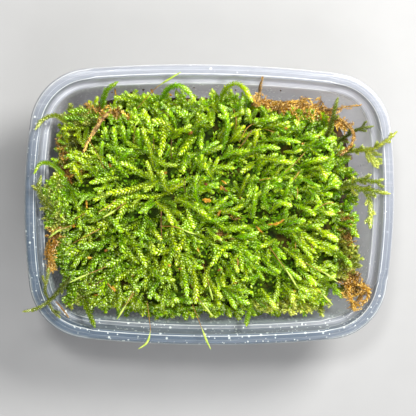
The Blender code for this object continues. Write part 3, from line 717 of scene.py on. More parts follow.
# the shoots that lie on top: freshness and size, then base, middle and tip in millimetres
crown = [
    (0.9, 1.1, (-43, 20), (-44.5, 27), (-45.5, 35)),
    (0.9, 1, (-52.5, 12), (-57.5, 18), (-62.5, 21.5)),
    (1, 1.05, (-38.5, 12.5), (-43.5, 18), (-48, 22.5)),
    (0.95, 0.8, (-62.5, 37), (-61.5, 32), (-60.5, 28)),
    (0.8, 0.75, (-57.5, 35.5), (-58.5, 30.5), (-59.5, 26.5)),
    (0.85, 0.8, (-51, 21.5), (-51, 25), (-50.5, 28.5)),
    (0.95, 0.8, (-49.5, 21.5), (-52.5, 22.5), (-55.5, 24.5)),
    (0.85, 1, (-27, 18), (-29, 26.5), (-32, 34)),
    (1, 0.7, (-49.5, 46.5), (-47.5, 42.5), (-46.5, 37)),
    (0.75, 0.9, (-32.5, 45), (-38, 47), (-43.5, 47.5)),
    (0.6, 0.9, (-66.5, 28), (-67.5, 32.5), (-68, 36.5)),
    (0.9, 0.85, (-43.5, 18.5), (-40.5, 22.5), (-37, 25.5)),
    (0.8, 0.9, (-40, 27), (-40.5, 31.5), (-41.5, 36)),
    (0.85, 0.8, (-48, 29), (-49, 32), (-49.5, 35)),
    (0.95, 1.15, (-23.5, 40.5), (-22.5, 31.5), (-24, 23)),
    (0.95, 1.1, (-7, 32), (-10.5, 29), (-14.5, 24)),
    (1, 0.9, (-18.5, 30.5), (-14.5, 34.5), (-10, 37)),
    (1, 0.9, (0, 45.5), (0, 41.5), (-0.5, 37.5)),
    (0.85, 0.85, (-4.5, 36), (-5, 31.5), (-5, 26.5)),
    (0.9, 1, (5, 25), (7, 39), (2, 51)),
    (1, 0.95, (9, 30), (11.5, 33), (14.5, 37)),
    (1, 1.1, (4, 21.5), (10, 25), (17, 26)),
    (0.95, 0.9, (-29.5, 25), (-24, 19.5), (-16.5, 18.5)),
    (0.95, 0.6, (13, 43.5), (11, 42.5), (9, 41)),
    (0.9, 1, (-11.5, 24), (-12.5, 20), (-13, 16.5)),
    (0.9, 0.95, (18, 46), (23, 45), (28, 44.5)),
    (1, 1.05, (19.5, 39), (25, 40), (30, 41)),
    (0.9, 0.8, (18.5, 38), (17.5, 41.5), (17, 45)),
    (0.9, 0.85, (19, 25), (20, 30), (21, 34.5)),
    (0.95, 0.9, (21.5, 30), (31, 31.5), (41, 30)),
    (0.95, 1.1, (12, 22.5), (22.5, 27.5), (31, 27)),
    (0.5, 1, (44, 35.5), (48, 39), (51.5, 44)),
    (0.85, 0.9, (41, 35), (40, 37), (39, 40)),
    (0.9, 0.9, (39.5, 31), (45, 32.5), (49.5, 33)),
    (0.9, 1, (47, 28), (53, 30.5), (59, 32.5)),
    (1, 1.15, (41.5, 19), (47, 21.5), (53.5, 23)),
    (1, 1, (23.5, 22.5), (29.5, 21.5), (37, 20.5)),
    (0.9, 0.7, (33.5, 25.5), (38, 25.5), (42, 26.5)),
    (1.2, 0.95, (-60, 9.5), (-61.5, 13), (-63.5, 16.5)),
    (0.95, 1.05, (-29.5, 12), (-35.5, 16.5), (-42, 19.5)),
    (0.95, 1, (-43, 12.5), (-49.5, 11.5), (-55.5, 10)),
    (1, 0.8, (-47.5, 10.5), (-49.5, 8), (-52, 5.5)),
    (0.95, 0.6, (-50, 3), (-57, 4), (-61, 0)),
    (0.95, 1.15, (-28.5, 10), (-37.5, 7), (-48, 5)),
    (0.9, 0.8, (-46, 5), (-50, 3.5), (-54, 2)),
    (1, 0.85, (-24.5, 11.5), (-27.5, 9), (-30.5, 6.5)),
    (1, 1.05, (-50.5, -3.5), (-45.5, -7.5), (-41.5, -12.5)),
    (0.95, 0.9, (-50, -6), (-53.5, -6), (-57.5, -4)),
    (0.9, 0.9, (-65, 6.5), (-63, 1.5), (-61, -3)),
    (0.7, 1, (-67, 10), (-70, 6.5), (-73, 2.5)),
    (0.75, 0.95, (-73, -2), (-72, -5.5), (-70, -9.5)),
    (0.75, 0.9, (-69, 2), (-67, -2), (-66, -6)),
    (1.15, 0.75, (-26, 1), (-29, -1), (-33, -3.5)),
    (1.2, 0.5, (-32, 4), (-34.5, 2), (-36, 1)),
    (0.95, 0.9, (-27, 8), (-28, 14), (-30, 20)),
    (0.9, 0.9, (-19.5, 6), (-22, 10), (-23, 15.5)),
    (0.95, 1.05, (-26, 1.5), (-21, -2.5), (-18, -8.5)),
    (1, 1.1, (-15.5, 3), (-7.5, -1), (-0.5, -6)),
    (1, 1.1, (-5.5, -11), (0.5, -2.5), (7.5, 4)),
    (1, 1.1, (-6, 1), (-7.5, 7), (-7, 13.5)),
    (0.95, 1.15, (0.5, -6.5), (8, -11), (16.5, -9.5)),
    (0.9, 1, (1, 12), (-1.5, 15.5), (-3.5, 19.5)),
    (0.9, 0.9, (-5.5, 15.5), (-5, 19.5), (-4.5, 23)),
    (0.95, 0.9, (20, 19.5), (17, 18), (14, 16)),
    (0.9, 0.9, (19.5, 13), (18, 9), (19, 4.5)),
    (1, 1.05, (19.5, -6), (20, 1.5), (21, 9)),
    (0.9, 0.95, (28, -3.5), (24.5, 4), (26.5, 11.5)),
    (1, 0.9, (34, 3.5), (35.5, 8), (37.5, 13)),
    (1, 0.9, (27.5, -3), (32, 1.5), (37.5, 0.5)),
    (0.95, 0.95, (39, 1), (43.5, -0.5), (48.5, -3.5)),
    (1.1, 0.9, (44.5, -4.5), (47.5, -2.5), (50, 0.5)),
    (1, 0.65, (46, 9), (48, 6.5), (50.5, 3.5)),
    (1, 0.65, (43.5, 13), (47, 11), (50.5, 9.5)),
    (0.95, 0.8, (49.5, 0), (53.5, -2.5), (58, -3.5)),
    (0.9, 0.8, (50, 20.5), (51.5, 17.5), (54, 13.5)),
    (1, 0.85, (55, 8), (58, 10), (62, 8.5)),
    (0.85, 0.9, (42, -9.5), (47, -9), (52.5, -8.5)),
    (0.9, 0.85, (34.5, 9), (30, 9.5), (25, 8.5)),
    (1, 1.1, (-37, -21.5), (-43, -26), (-48.5, -28.5)),
    (1, 1.15, (-39.5, -12.5), (-34, -20.5), (-30, -28.5)),
    (0.95, 1, (-45, -16), (-52, -18.5), (-60, -20.5)),
    (0.95, 1, (-56.5, -20), (-60, -24.5), (-63.5, -29)),
    (0.95, 0.75, (-45.5, -14.5), (-45.5, -18), (-45.5, -21)),
    (0.95, 1.2, (-41.5, -14), (-41, -18), (-41, -21.5)),
    (0.95, 0.9, (-50.5, -40.5), (-55.5, -40), (-60, -37)),
    (0.95, 0.8, (-51.5, -42.5), (-54.5, -44), (-58.5, -45.5)),
    (0.95, 0.95, (-42, -38), (-41.5, -44), (-43, -50)),
    (0.9, 1.2, (-48, -43), (-49, -46), (-50, -49)),
    (0.85, 0.9, (-39.5, -30.5), (-36.5, -35.5), (-33.5, -40)),
    (0.95, 0.8, (-31.5, -41.5), (-33, -45), (-33.5, -48.5)),
    (1, 0.7, (-29, -14.5), (-27.5, -17.5), (-26, -21)),
    (0.85, 0.9, (-62.5, -19.5), (-67, -21), (-70.5, -23.5)),
    (0.85, 0.8, (-61.5, -14.5), (-65, -16.5), (-68.5, -18.5)),
    (0.95, 0.95, (-28, -10), (-26, -12.5), (-23.5, -16)),
    (1.05, 1.05, (-13, -28.5), (-11.5, -35.5), (-10.5, -42.5)),
    (1.05, 1.1, (-8, -29), (-6.5, -37.5), (-6.5, -45.5)),
    (0.95, 0.95, (-1.5, -33), (2, -38.5), (5.5, -43)),
    (0.95, 0.7, (3.5, -33.5), (4, -36), (4.5, -39)),
    (0.95, 0.7, (6, -33), (6, -35), (6.5, -37.5)),
    (0.95, 0.95, (5.5, -38), (9.5, -43.5), (13, -48.5)),
    (1, 1.05, (7.5, -39), (13, -43), (18.5, -46)),
    (0.95, 1, (6.5, -37.5), (13, -39), (19.5, -40.5)),
    (1, 0.9, (24.5, -32), (19.5, -33.5), (15.5, -34.5)),
    (0.95, 0.85, (9.5, -22.5), (11, -26.5), (13, -30.5)),
    (0.95, 1, (14, -15.5), (5.5, -21), (0.5, -28)),
    (0.8, 0.9, (0.5, -27.5), (-2, -32.5), (-2, -37.5)),
    (1, 1, (12, -14.5), (16.5, -14), (22, -12.5)),
    (1, 0.75, (-1.5, -10.5), (1.5, -13.5), (5, -16)),
    (0.95, 1.2, (-17.5, -20.5), (-22, -21.5), (-27, -22)),
    (0.95, 1.1, (-29, -30), (-23, -33.5), (-17, -35)),
    (0.9, 1, (-23, -34.5), (-26, -38.5), (-28, -43)),
    (1, 0.95, (-20.5, -38), (-21.5, -44.5), (-22.5, -51.5)),
    (0.9, 1, (-19.5, -39.5), (-17.5, -43), (-14.5, -45)),
    (0.95, 0.9, (-14.5, -43.5), (-12, -44.5), (-8.5, -45.5)),
    (0.95, 0.7, (17.5, -26), (18, -28.5), (19, -30.5)),
    (0.95, 0.9, (27.5, -15.5), (31.5, -20), (35, -24.5)),
    (1.05, 1, (29.5, -23.5), (35.5, -29), (42.5, -34)),
    (0.9, 0.9, (24.5, -24.5), (28, -28), (32.5, -31)),
    (1.05, 0.95, (39.5, -14), (43.5, -19), (48, -24.5)),
    (1, 0.95, (34.5, -19.5), (40.5, -24), (45, -29)),
    (0.95, 1, (41, -28.5), (45, -32), (50.5, -37)),
    (0.85, 1.1, (59, -23), (55.5, -20.5), (51.5, -19)),
    (1, 1, (46, -8), (54, -12.5), (61.5, -16.5)),
    (0.85, 0.7, (64, -17.5), (62, -23.5), (60.5, -29.5)),
    (1, 0.8, (30.5, -15.5), (27, -17.5), (24, -19)),
    (0.95, 0.9, (24.5, -39), (28.5, -44.5), (33, -50)),
    (0.85, 1, (35, -36.5), (38, -40), (39.5, -45)),
    (0.9, 0.6, (54, -37.5), (55, -41), (54, -45)),
    (0.8, 0.5, (60, -35.5), (60, -38.5), (60.5, -42.5)),
    (0.65, 1, (57, -30), (61, -30.5), (64.5, -29)),
    (0.85, 0.9, (52, -35), (56.5, -34), (61.5, -33)),
    (0.9, 0.5, (42.5, -45), (44.5, -48), (46.5, -52)),
]

# yellower shoots at the edge that lie against the wall: freshness, size and points
edgeShoots = [
    (0.6, 0.95, (-66, -11, 41), (-70, -6, 45), (-73.5, 0, 46.5)),
    (0.65, 0.9, (-70, -12, 42), (-75, -6, 46), (-76.5, 1, 47)),
    (0.75, 0.8, (-72, -2, 43), (-76, 2, 46.5), (-77.5, 7, 47.5)),
    (0.7, 0.95, (-66, -3, 42), (-70, 2.5, 45.5), (-73, 8, 46)),
    (0.65, 0.85, (-67, 4, 42), (-72, 7.5, 45.5), (-76, 10.5, 46.5)),
    (0.6, 0.95, (-63, 5, 42), (-67.5, 9.5, 45), (-70, 14, 45.5)),
    (0.6, 0.85, (-68, -15, 41), (-72, -12, 44.5), (-76, -9, 46)),
    (0.5, 0.95, (-50, 41, 41), (-58, 43, 43), (-66, 42.5, 43.5)),
    (0.55, 0.95, (-54, 38, 41), (-62, 39.5, 44), (-69, 39.5, 46)),
    (0.6, 0.85, (-58, 35, 41), (-64, 35, 44), (-69, 34.5, 45)),
    (0.7, 0.85, (-65, 24, 40), (-67.5, 30, 43.5), (-68, 36, 45)),
    (0.7, 0.9, (-32, 44.5, 41), (-38, 48, 44), (-45, 49.5, 45)),
    (0.65, 0.85, (-27, 45, 41), (-33, 49, 44), (-39, 50.5, 44.5)),
    (0.7, 0.8, (60, -7, 42), (66, -9.5, 45), (70, -14, 45)),
    (0.65, 0.85, (58, -22, 41), (64, -24, 44.5), (67, -28, 44)),
    (0.6, 0.8, (54, -36, 41), (60, -39, 44), (63, -43, 43)),
]

# places where the mat falls open: middle and radius
hollows = [
    (-36.5, 13.5, 3.5), (-52, 6, 3), (-44.5, 8.5, 2.5), (-26, -5, 3.5), (12, 11, 3.5), (12.5, -5, 3.5),
    (-1, -13.5, 3.5), (-0.5, -25, 2.5), (22.5, -6.5, 3.5), (33.5, -2, 3.5), (57, -26.5, 3),
    (36, 28, 3.5), (-0.5, 33.5, 3.5), (-54.5, -24, 3), (-28.5, -44, 3), (-15.5, -40, 2.5),
    (-2.5, -43, 2.5), (16, -42.5, 3.5), (28, -40, 3), (-9, -41, 1.5), (-43, -20.5, 2.5), (59, 1.5, 2.5),
    (1.5, 37.5, 2.5), (-12.5, 37.5, 2.5), (-56.5, 32, 3), (-53, 29.5, 2.5), (-63, 12, 3), (63.5, 11, 3),
    (42, 20.5, 2.5), (7, -14.5, 2.5), (22.5, 4, 1.5), (-38.5, -41.5, 2), (-63.5, -29, 2),
]

# flakes of litter: middle, length, width, heading in degrees and how orange
flakes = [
    (-2, 2.5, 4, 2.4, -5, 1),
    (6, 11, 3, 1, -31, 0.85),
    (6, 8, 4.5, 1.4, -42, 0.1),
    (4.5, 8, 1.6, 1.3, -60, 0.75),
    (4, -3.5, 2.8, 1.7, 65, 0.5),
    (-2.5, 10, 1.8, 1.4, 0, 0),
    (-21.5, 15, 1.7, 1.6, 20, 0.5),
    (-10, 33.5, 2.4, 1.8, 30, 0.15),
    (12, 47, 2.4, 1.6, -30, 0.45),
    (-19.5, 51.5, 2.6, 1.4, -25, 0.8),
    (-28, 53, 2.4, 1.4, -70, 0.6),
    (-45, 52, 4.6, 1.1, -78, 0.8),
    (31, -8, 3.6, 1.8, 20, 0.9),
    (33, -7, 3.4, 1.2, 35, 0.95),
    (28, -8.5, 2.4, 1.4, 10, 0.8),
    (23, -11, 4.4, 1.3, -45, 0.85),
    (14.5, 3.5, 2.4, 0.8, -25, 0.95),
    (-57.5, 0, 4.4, 1, -85, 0.85),
    (-63.5, -10.5, 1.5, 1.3, 0, 0.75),
    (-47, 18, 1.8, 1.5, -60, 0.65),
    (-56, -25, 2.2, 1.8, 0, 1),
    (-48.5, -21.5, 1.4, 1.8, 0, 0.25),
    (-53, -42.5, 2, 0.9, 10, 0.7),
    (-44.5, -39, 2.8, 1.4, -60, 0.9),
    (-19, -28, 1.5, 1.4, 0, 0.9),
    (-14, -29.5, 1.4, 1.4, 0, 0.3),
    (4.5, -30, 2, 1.3, 20, 0.05),
    (12, -36, 2, 0.9, 10, 0.1),
    (-36, -33, 1.6, 1.4, 0, 0.25),
    (-5.5, -21, 3.8, 0.8, -65, 0.95),
    (34.5, 36.5, 1.5, 1.4, 0, 0.7),
    (50.5, 32.5, 2.8, 1.4, 0, 0.15),
    (65, 0.5, 3.6, 2.4, -75, 0.4),
    (39.5, -40, 2.2, 1.8, 30, 0.5),
    (42.5, 29.5, 1.6, 1.4, 0, 0.1),
    (-67, 25.5, 2.6, 1.6, -80, 0.75),
    (-67, 11, 3, 2.2, -60, 0.75),
    (-64.5, 13, 3, 0.9, 40, 0.6),
]

# thin stalks and stems over the mat: how golden, radius, height over the mat, hood or none, then the points
# dark specks stuck to the back wall: place along it, height and size in millimetres
specks = [(-37.5, 22, 1.6), (-32, 30, 1.1), (-47, 26, 0.9), (-8, 34, 0.7), (12, 30, 0.8), (33, 36, 0.7)]

thinStems = [
    (0.2, 0.18, 3, 1, (-36.5, 27), (-36, 33.5), (-35.5, 36.5), (-33, 40.5)),
    (0.05, 0.2, 3.5, 0, (-27, 24), (-27, 27.5), (-27, 32)),
    (0.05, 0.22, 3.5, 0, (-18.5, 21), (-19, 26), (-18.5, 31)),
    (0.1, 0.18, 3.5, 1, (-19.5, 40.5), (-21.5, 42.5), (-24, 44), (-27.5, 45)),
    (0.75, 0.25, 4, 0, (11, 35), (11, 41), (9, 48.5)),
    (0.7, 0.35, 3, 0, (-29, 49), (-20.5, 48), (-11.5, 45)),
    (0.3, 0.35, 3, 0, (11.5, 25.5), (15.5, 30.5), (18.5, 35.5)),
    (0.8, 0.3, 3, 0, (13, 29.5), (16.5, 36.5), (23, 40)),
    (0.9, 0.2, 3.5, 0, (24.5, 36), (30, 34), (33, 30.5)),
    (0.65, 0.25, 4, 0, (33.5, 15), (38.5, 20), (43.5, 25.5)),
    (1, 0.15, 4.5, 0, (-56, 28.5), (-53.5, 24.5), (-49.5, 16.5)),
    (0.8, 0.25, 4, 0, (-68, -10), (-63, -7), (-58, -4)),
    (0.85, 0.25, 3.5, 0, (-75, -14), (-72.5, -12), (-69, -10.5)),
    (0.95, 0.25, 3.8, 0, (-44, 2.5), (-47.5, -1), (-52, -3.5)),
    (0.15, 0.4, 1.5, 0, (-23, -3), (-23, -9.5), (-22.5, -16.5)),
    (0.7, 0.25, 3.5, 1, (-23.5, -10), (-16.5, -10), (-10, -12.5), (-6.5, -13.5)),
    (0.05, 0.2, 3, 0, (-12.5, 12.5), (-12.5, 9.5), (-12, 5.5)),
    (0.8, 0.3, 3.5, 0, (22.5, 12), (27.5, 13), (32, 12)),
    (0.9, 0.25, 3.5, 0, (40, 10.5), (40.5, 7), (40, 3.5)),
    (0.85, 0.3, 3.5, 0, (51, -0.5), (54, 1.5), (58.5, 2)),
    (0.95, 0.3, 3.5, 0, (41.5, 16.5), (39.5, 14), (37, 11)),
    (0, 0.5, 3, 0, (-57, -37.5), (-53.5, -37.5), (-49.5, -35)),
    (0.75, 0.25, 4, 0, (-51.5, -11.5), (-57, -14.5), (-64, -18.5)),
    (0.6, 0.3, 3.8, 0, (-34, -39.5), (-37, -44), (-41, -48.5)),
    (0.9, 0.5, 3.5, 0, (-48, -36.5), (-46, -38.5), (-44, -40.5)),
    (0.95, 0.25, 3.5, 0, (40, -15.5), (40, -19), (39.5, -22.5)),
    (0.75, 0.25, 3, 0, (48, -31.5), (48.5, -35), (48.5, -38)),
    (0.5, 0.3, 3, 0, (46.5, -15.5), (47.5, -18), (48.5, -20.5)),
    (0.15, 0.35, 3, 0, (-6, -45.5), (-5.5, -50), (-5, -54)),
    (0.95, 0.4, 3.5, 0, (12, -23), (13, -26), (12.5, -29.5)),
]


def inMetres(path):
    return [Vector(p) * mm for p in path]


# each layer of shoots: its grid, its height over the mat, its freshness, its side shoots and its length
growth = {
    "layers": [
        ("deep", 17, 13, (-4.0 * mm, -2.4 * mm), (0.45, 0.95), (0, 2), (10 * mm, 18 * mm), 0.5),
        ("lower", 17, 12, (-2.0 * mm, -0.6 * mm), (0.45, 0.9), (0, 3), (10 * mm, 20 * mm), 0.12),
        ("upper", 20, 15, (-0.2 * mm, 1.8 * mm), (0.55, 1.0), (0, 3), (9 * mm, 20 * mm), 0),
    ],
    "clearOfCrown": 2.4 * mm,
    "bedLeaves": 4900,
    "flankShoots": 190,
    "branchLength": (3.5 * mm, 8 * mm),
    "swing": 0.5,
    "seed": 41,
}


def fanHeading(x, y):
    return math.atan2(y - mat["fanCentre"][1], x - mat["fanCentre"][0])


def matPath(x, y, heading, length, bend, heights):
    path = []
    for share, height in heights:
        turn = heading + bend * share
        px = x + length * (share - 0.4) * math.cos(turn)
        py = y + length * (share - 0.4) * math.sin(turn)
        path.append(Vector((px, py, matHeight(px, py) + height)))
    return path


def keptInside(path, room=1.3 * mm):
    return all(insideTub(p, room) > 0 for p in path)


def addBranches(pile, path, draw, count, fresh, scale=0.85, reach=1.0, bare=0.0):
    # side shoots that leave the stem on alternate sides, shorter towards the tip
    steps = catmullRom(path, 0.5 * mm)
    tangent, up, side = framesAlong(steps)
    for number in range(count):
        share = (number + draw.uniform(0.5, 1.2)) / (count + 1)
        place = min(int(share * len(steps)), len(steps) - 2)
        hand = 1 if number % 2 else -1
        angle = draw.uniform(0.6, 1.05)
        length = draw.uniform(*growth["branchLength"]) * (1.1 - 0.5 * share) * reach
        aim = tangent[place] * math.cos(angle) + side[place] * hand * math.sin(angle)
        lift = up[place] * draw.uniform(-0.1, 0.35)
        start = steps[place]
        middle = start + (aim + lift) * length * 0.55
        end = middle + (unit(aim + tangent[place] * 0.5) + lift * 0.4) * length * 0.5
        twig = [Vector(start), Vector(middle), Vector(end)]
        if insideTub(twig[-1], 1 * mm) > 0 or twig[-1].z > 51 * mm:
            pile.shoot(twig, draw, fresh, scale, bare=bare)


def inHollow(x, y, share=1.0):
    return any(math.hypot(x - a * mm, y - b * mm) < radius * share * mm for a, b, radius in hollows)


def growCrown():
    # the top shoots rise from the mat, arch over it and end a little above it
    draw = random.Random(growth["seed"] + 1)
    pile = LeafPile()
    for fresh, size, *stem in edgeShoots:
        pile.shoot(inMetres(stem), draw, fresh, size)
        addBranches(pile, inMetres(stem), draw, 2, fresh, size * 0.8, 0.6)
    for fresh, size, *stem in crown:
        path = []
        for (x, y), lift in zip(stem, (0.2, 3.4, 2.6)):
            top = matHeight(x * mm, y * mm) + (lift + draw.uniform(-0.4, 0.8)) * mm
            path.append(Vector((x * mm, y * mm, top)))
        pile.shoot(path, draw, fresh, size)
        addBranches(pile, path, draw, draw.choice((0, 0, 1, 2)), fresh * 0.95, size * 0.75, 0.6)
    return pile


def growMat():
    draw = random.Random(growth["seed"])
    piles = {}
    busy = np.array([stem[k] for fresh, size, *stem in crown for k in (0, 1, 2)]) * mm
    between = np.array([(np.array(stem[k]) + stem[k + 1]) / 2 for fresh, size, *stem in crown for k in (0, 1)]) * mm
    busy = np.vstack([busy, between])

    def underCrown(point):
        return np.min(np.hypot(busy[:, 0] - point.x, busy[:, 1] - point.y)) < growth["clearOfCrown"]

    def pileFor(x, y, kind):
        side = "Right" if x > mat["middle"][0] else "Left"
        depth = "Back" if y > mat["middle"][1] else "Front"
        return piles.setdefault(f"{kind}{depth}{side}", LeafPile())

    def field(kind, columns, rows, heights, fresh, branches, lengths, bare):
        for row in range(rows):
            for column in range(columns):
                u = (column + draw.uniform(0, 1)) / columns * 2 - 1
                v = (row + draw.uniform(0, 1)) / rows * 2 - 1
                x, y = onFootprint(u, v, mat["reach"], mat["middle"], mat["notch"])
                heading = fanHeading(x, y) + draw.gauss(0, growth["swing"])
                length = draw.uniform(*lengths)
                lift = draw.uniform(*heights)
                rises = ((0, lift - 3 * mm), (0.4, lift), (0.75, lift + 0.3 * mm), (1, lift - 0.6 * mm))
                path = matPath(x, y, heading, length, draw.uniform(-0.6, 0.6), rises)
                if not keptInside(path):
                    path = matPath(x, y, heading, length * 0.6, 0, rises)
                if not keptInside(path):
                    continue
                if kind != "deep" and any(inHollow(p.x, p.y) for p in path[1:]):
                    continue
                if kind == "upper" and sum(underCrown(p) for p in path) > 2:
                    continue
                bright = draw.uniform(*fresh)
                pile = pileFor(x, y, kind)
                size = draw.uniform(0.85, 1.15)
                pile.shoot(path, draw, bright, size, bare=bare)
                addBranches(pile, path, draw, draw.randint(*branches), bright, size * 0.85, bare=bare)

    for layerOfShoots in growth["layers"]:
        field(*layerOfShoots)

    for step in range(growth["flankShoots"]):
        angle = math.tau * (step + draw.uniform(-0.4, 0.4)) / growth["flankShoots"]
        out = footprintRadius(angle, mat["reach"])
        x = mat["middle"][0] + out * math.cos(angle) * 0.96
        y = mat["middle"][1] + out * math.sin(angle) * 0.96
        if y > 30 * mm:
            y *= 1 - mat["notch"] * smoothstep(x, 8 * mm, 26 * mm)
        heading = angle + draw.gauss(0, 1.0)
        reach = draw.uniform(2.5, 7.5) * mm
        drop = draw.uniform(-1, 12) * mm
        top = matHeight(x, y) - 0.5 * mm
        path = []
        for share, fall in ((0, -0.5), (0.45, 0.15), (1, 1)):
            path.append(Vector((
                x + reach * share * math.cos(heading), y + reach * share * math.sin(heading), top - drop * fall
            )))
        if keptInside(path[:2], 0.8 * mm):
            while not keptInside(path[-1:], 0.8 * mm):
                path[-1] = path[-1].lerp(path[1], 0.2)
            pileFor(x, y, "lower").shoot(path, draw, draw.uniform(0.2, 0.8), draw.uniform(0.8, 1.1))
    bed = []
    for number in range(growth["bedLeaves"]):
        x, y = onFootprint(
            draw.uniform(-1, 1), draw.uniform(-1, 1), mat["reach"], mat["middle"], mat["notch"]
        )
        lift = draw.uniform(-3.0, -1.4) * mm
        if not inHollow(x, y, 0.7):
            bed.append((x * 0.985, y * 0.985, matHeight(x, y) + lift))
    piles["bedLeaves"] = LeafPile()
    piles["bedLeaves"].strew(np.array(bed), draw, (0.1, 0.7), (1.2 * mm, 2.2 * mm))
    return piles


# ---- the tub

def tubProfile():
    # inset and height in millimetres down the upper face, from the rim's skirt to the floor
    return [
        (0.0, 46.4), (0.02, 47.6), (0.25, 48.8), (0.75, 49.6), (1.5, 49.95), (2.3, 50.0), (4.2, 50.0),
        (4.8, 49.9), (5.25, 49.5), (5.5, 48.8), (5.7, 47.4), (6.0, 44.9), (6.25, 44.1), (6.75, 43.6),
        (7.5, 43.35), (8.1, 43.15), (8.6, 42.7), (8.95, 41.5), (9.05, 40.5), (9.8, 33), (10.9, 21.5), (11.9, 11),
        (12.35, 6.4), (12.7, 4.4), (13.3, 2.8), (14.2, 1.6), (15.4, 1.0), (17.0, 0.8),
    ]


def insetAt(point):
    # how far a point lies inside the rim's outline, seen from above
    x, y = abs(point.x), abs(point.y)
    ends = (tub["length"] / 2 - 31 * mm, tub["width"] / 2 - 31.5 * mm)
    if x > ends[0] and y > ends[1]:
        return 28.2 * mm - math.hypot(x - ends[0], y - ends[1])
    longSide = tub["width"] / 2 - x * x / (2 * tub["longSideRadius"])
    shortSide = tub["length"] / 2 - y * y / (2 * tub["shortSideRadius"])
    return min(longSide - y, shortSide - x)


def makeTub():
    profile = tubProfile()
    first = tubOutline(profile[0][0] * mm)
    bpy.ops.mesh.primitive_circle_add(vertices=len(first), radius=0.08, location=(0, 0, 0))
    shell = bpy.context.object
    shell.name = "tubShell"
    mesh = shell.data
    for vert, (x, y) in zip(mesh.vertices, first):
        vert.co = (x, y, profile[0][1] * mm)
    bpy.ops.object.mode_set(mode="EDIT")
    bpy.ops.mesh.select_all(action="SELECT")
    for inset, height in profile[1:]:
        bpy.ops.mesh.extrude_edges_move()
        grid = bmesh.from_edit_mesh(mesh)
        ring = sorted((v for v in grid.verts if v.select), key=lambda v: v.index)
        for vert, (x, y) in zip(ring, tubOutline(inset * mm)):
            vert.co = (x, y, height * mm)
        bmesh.update_edit_mesh(mesh)
    bpy.ops.mesh.edge_face_add()
    bpy.ops.mesh.inset(thickness=6 * mm)
    bpy.ops.mesh.select_all(action="SELECT")
    bpy.ops.mesh.normals_make_consistent(inside=True)
    bpy.ops.object.mode_set(mode="OBJECT")
    outer = len(mesh.vertices)
    wall = shell.modifiers.new("wall", "SOLIDIFY")
    wall.thickness = tub["wall"]
    wall.offset = 1
    wall.use_even_offset = True
    bpy.ops.object.modifier_apply(modifier="wall")
    bpy.ops.object.shade_smooth_by_angle(angle=math.radians(40))
    tint = mesh.color_attributes.new("tint", "FLOAT_COLOR", "POINT")
    for vert, mark in zip(mesh.vertices, tint.data):
        inset = insetAt(vert.co) if vert.co.z > 41 * mm else 9.5 * mm
        mark.color = (float(vert.index < outer), 0, min(max(inset, 0) * 100, 0.95), 1)
    return finishPiece(shell, plasticFinish(), "clear_plastic", "tub")


# ---- the old moss below and the bed under the shoots, darkened with painted shade

def cushion(name, columns, rows, top, walls):
    bpy.ops.mesh.primitive_grid_add(x_subdivisions=columns, y_subdivisions=rows, size=2)
    piece = bpy.context.object
    piece.name = name
    mesh = piece.data
    for vert in mesh.vertices:
        vert.co = top(vert.co.x, vert.co.y)
    bpy.ops.object.mode_set(mode="EDIT")
    bpy.ops.mesh.select_mode(type="EDGE")
    bpy.ops.mesh.select_all(action="DESELECT")
    bpy.ops.mesh.select_non_manifold()
    for wall in walls:
        bpy.ops.mesh.extrude_edges_move()
        grid = bmesh.from_edit_mesh(mesh)
        for vert in grid.verts:
            if vert.select:
                vert.co = wall(vert.co)
        bmesh.update_edit_mesh(mesh)
    bpy.ops.mesh.edge_face_add()
    bpy.ops.mesh.select_all(action="SELECT")
    bpy.ops.mesh.normals_make_consistent(inside=False)
    bpy.ops.object.mode_set(mode="OBJECT")
    bpy.ops.object.shade_smooth()
    return piece


def makeBed():
    sink = 2.4 * mm

    def top(u, v):
        x, y = onFootprint(u * 0.97, v * 0.97, mat["reach"], mat["middle"], mat["notch"])
        rough = noise.noise(Vector((x, y, 0.2)) * 240) * 0.9 * mm
        return Vector((x, y, matHeight(x, y) - sink + rough))

    def belly(point):
        return Vector((point.x * 1.005, point.y * 1.005, (point.z + mat["base"]) / 2))

    def foot(point):
        return Vector((point.x * 0.985, point.y * 0.985, mat["base"]))

    bed = cushion("mossBed", 96, 70, top, [belly, foot])
    return finishPiece(bed, bedFinish(), "green_moss", "green_moss_mat")


def makeOldMoss():
    def top(u, v):
        x, y = onFootprint(u, v, layer["reach"], layer["middle"])
        rough = noise.noise(Vector((x, y, 0.2)) * 200) * 1.2 * mm
        return Vector((x * 0.985, y * 0.985, layer["top"] - 1 * mm + rough))

    def side(share):
        def place(point):
            angle = math.atan2(point.y, point.x)
            wide = footprintRadius(angle, layer["reach"])
            narrow = footprintRadius(angle, layer["foot"])
            z = layer["base"] + (layer["top"] - layer["base"]) * share
            rough = noise.noise(Vector((math.cos(angle) * 9, math.sin(angle) * 9, share * 5)))
            out = (narrow + (wide - narrow) * share) * 0.975 + rough * 0.8 * mm
            return Vector((out * math.cos(angle), out * math.sin(angle), z))
        return place

    walls = [side(share) for share in (0.9, 0.75, 0.6, 0.45, 0.3, 0.15, 0.0)]
    block = cushion("oldMossBlock", 90, 64, top, walls)
    return finishPiece(block, litterFinish(), "brown_moss", "brown_moss_layer")


oldGrowth = {
    "flank": 330,
    "leafLength": 1.3 * mm,
    "seed": 12,
}

deadStyle = dict(
    shootStyle, leafSpacing=0.26 * mm, leafLength=1.8 * mm, leafWidth=0.6 * mm, lean=0.75, tipLean=0.4,
    stemRadius=0.12 * mm, flatten=1.0,
)


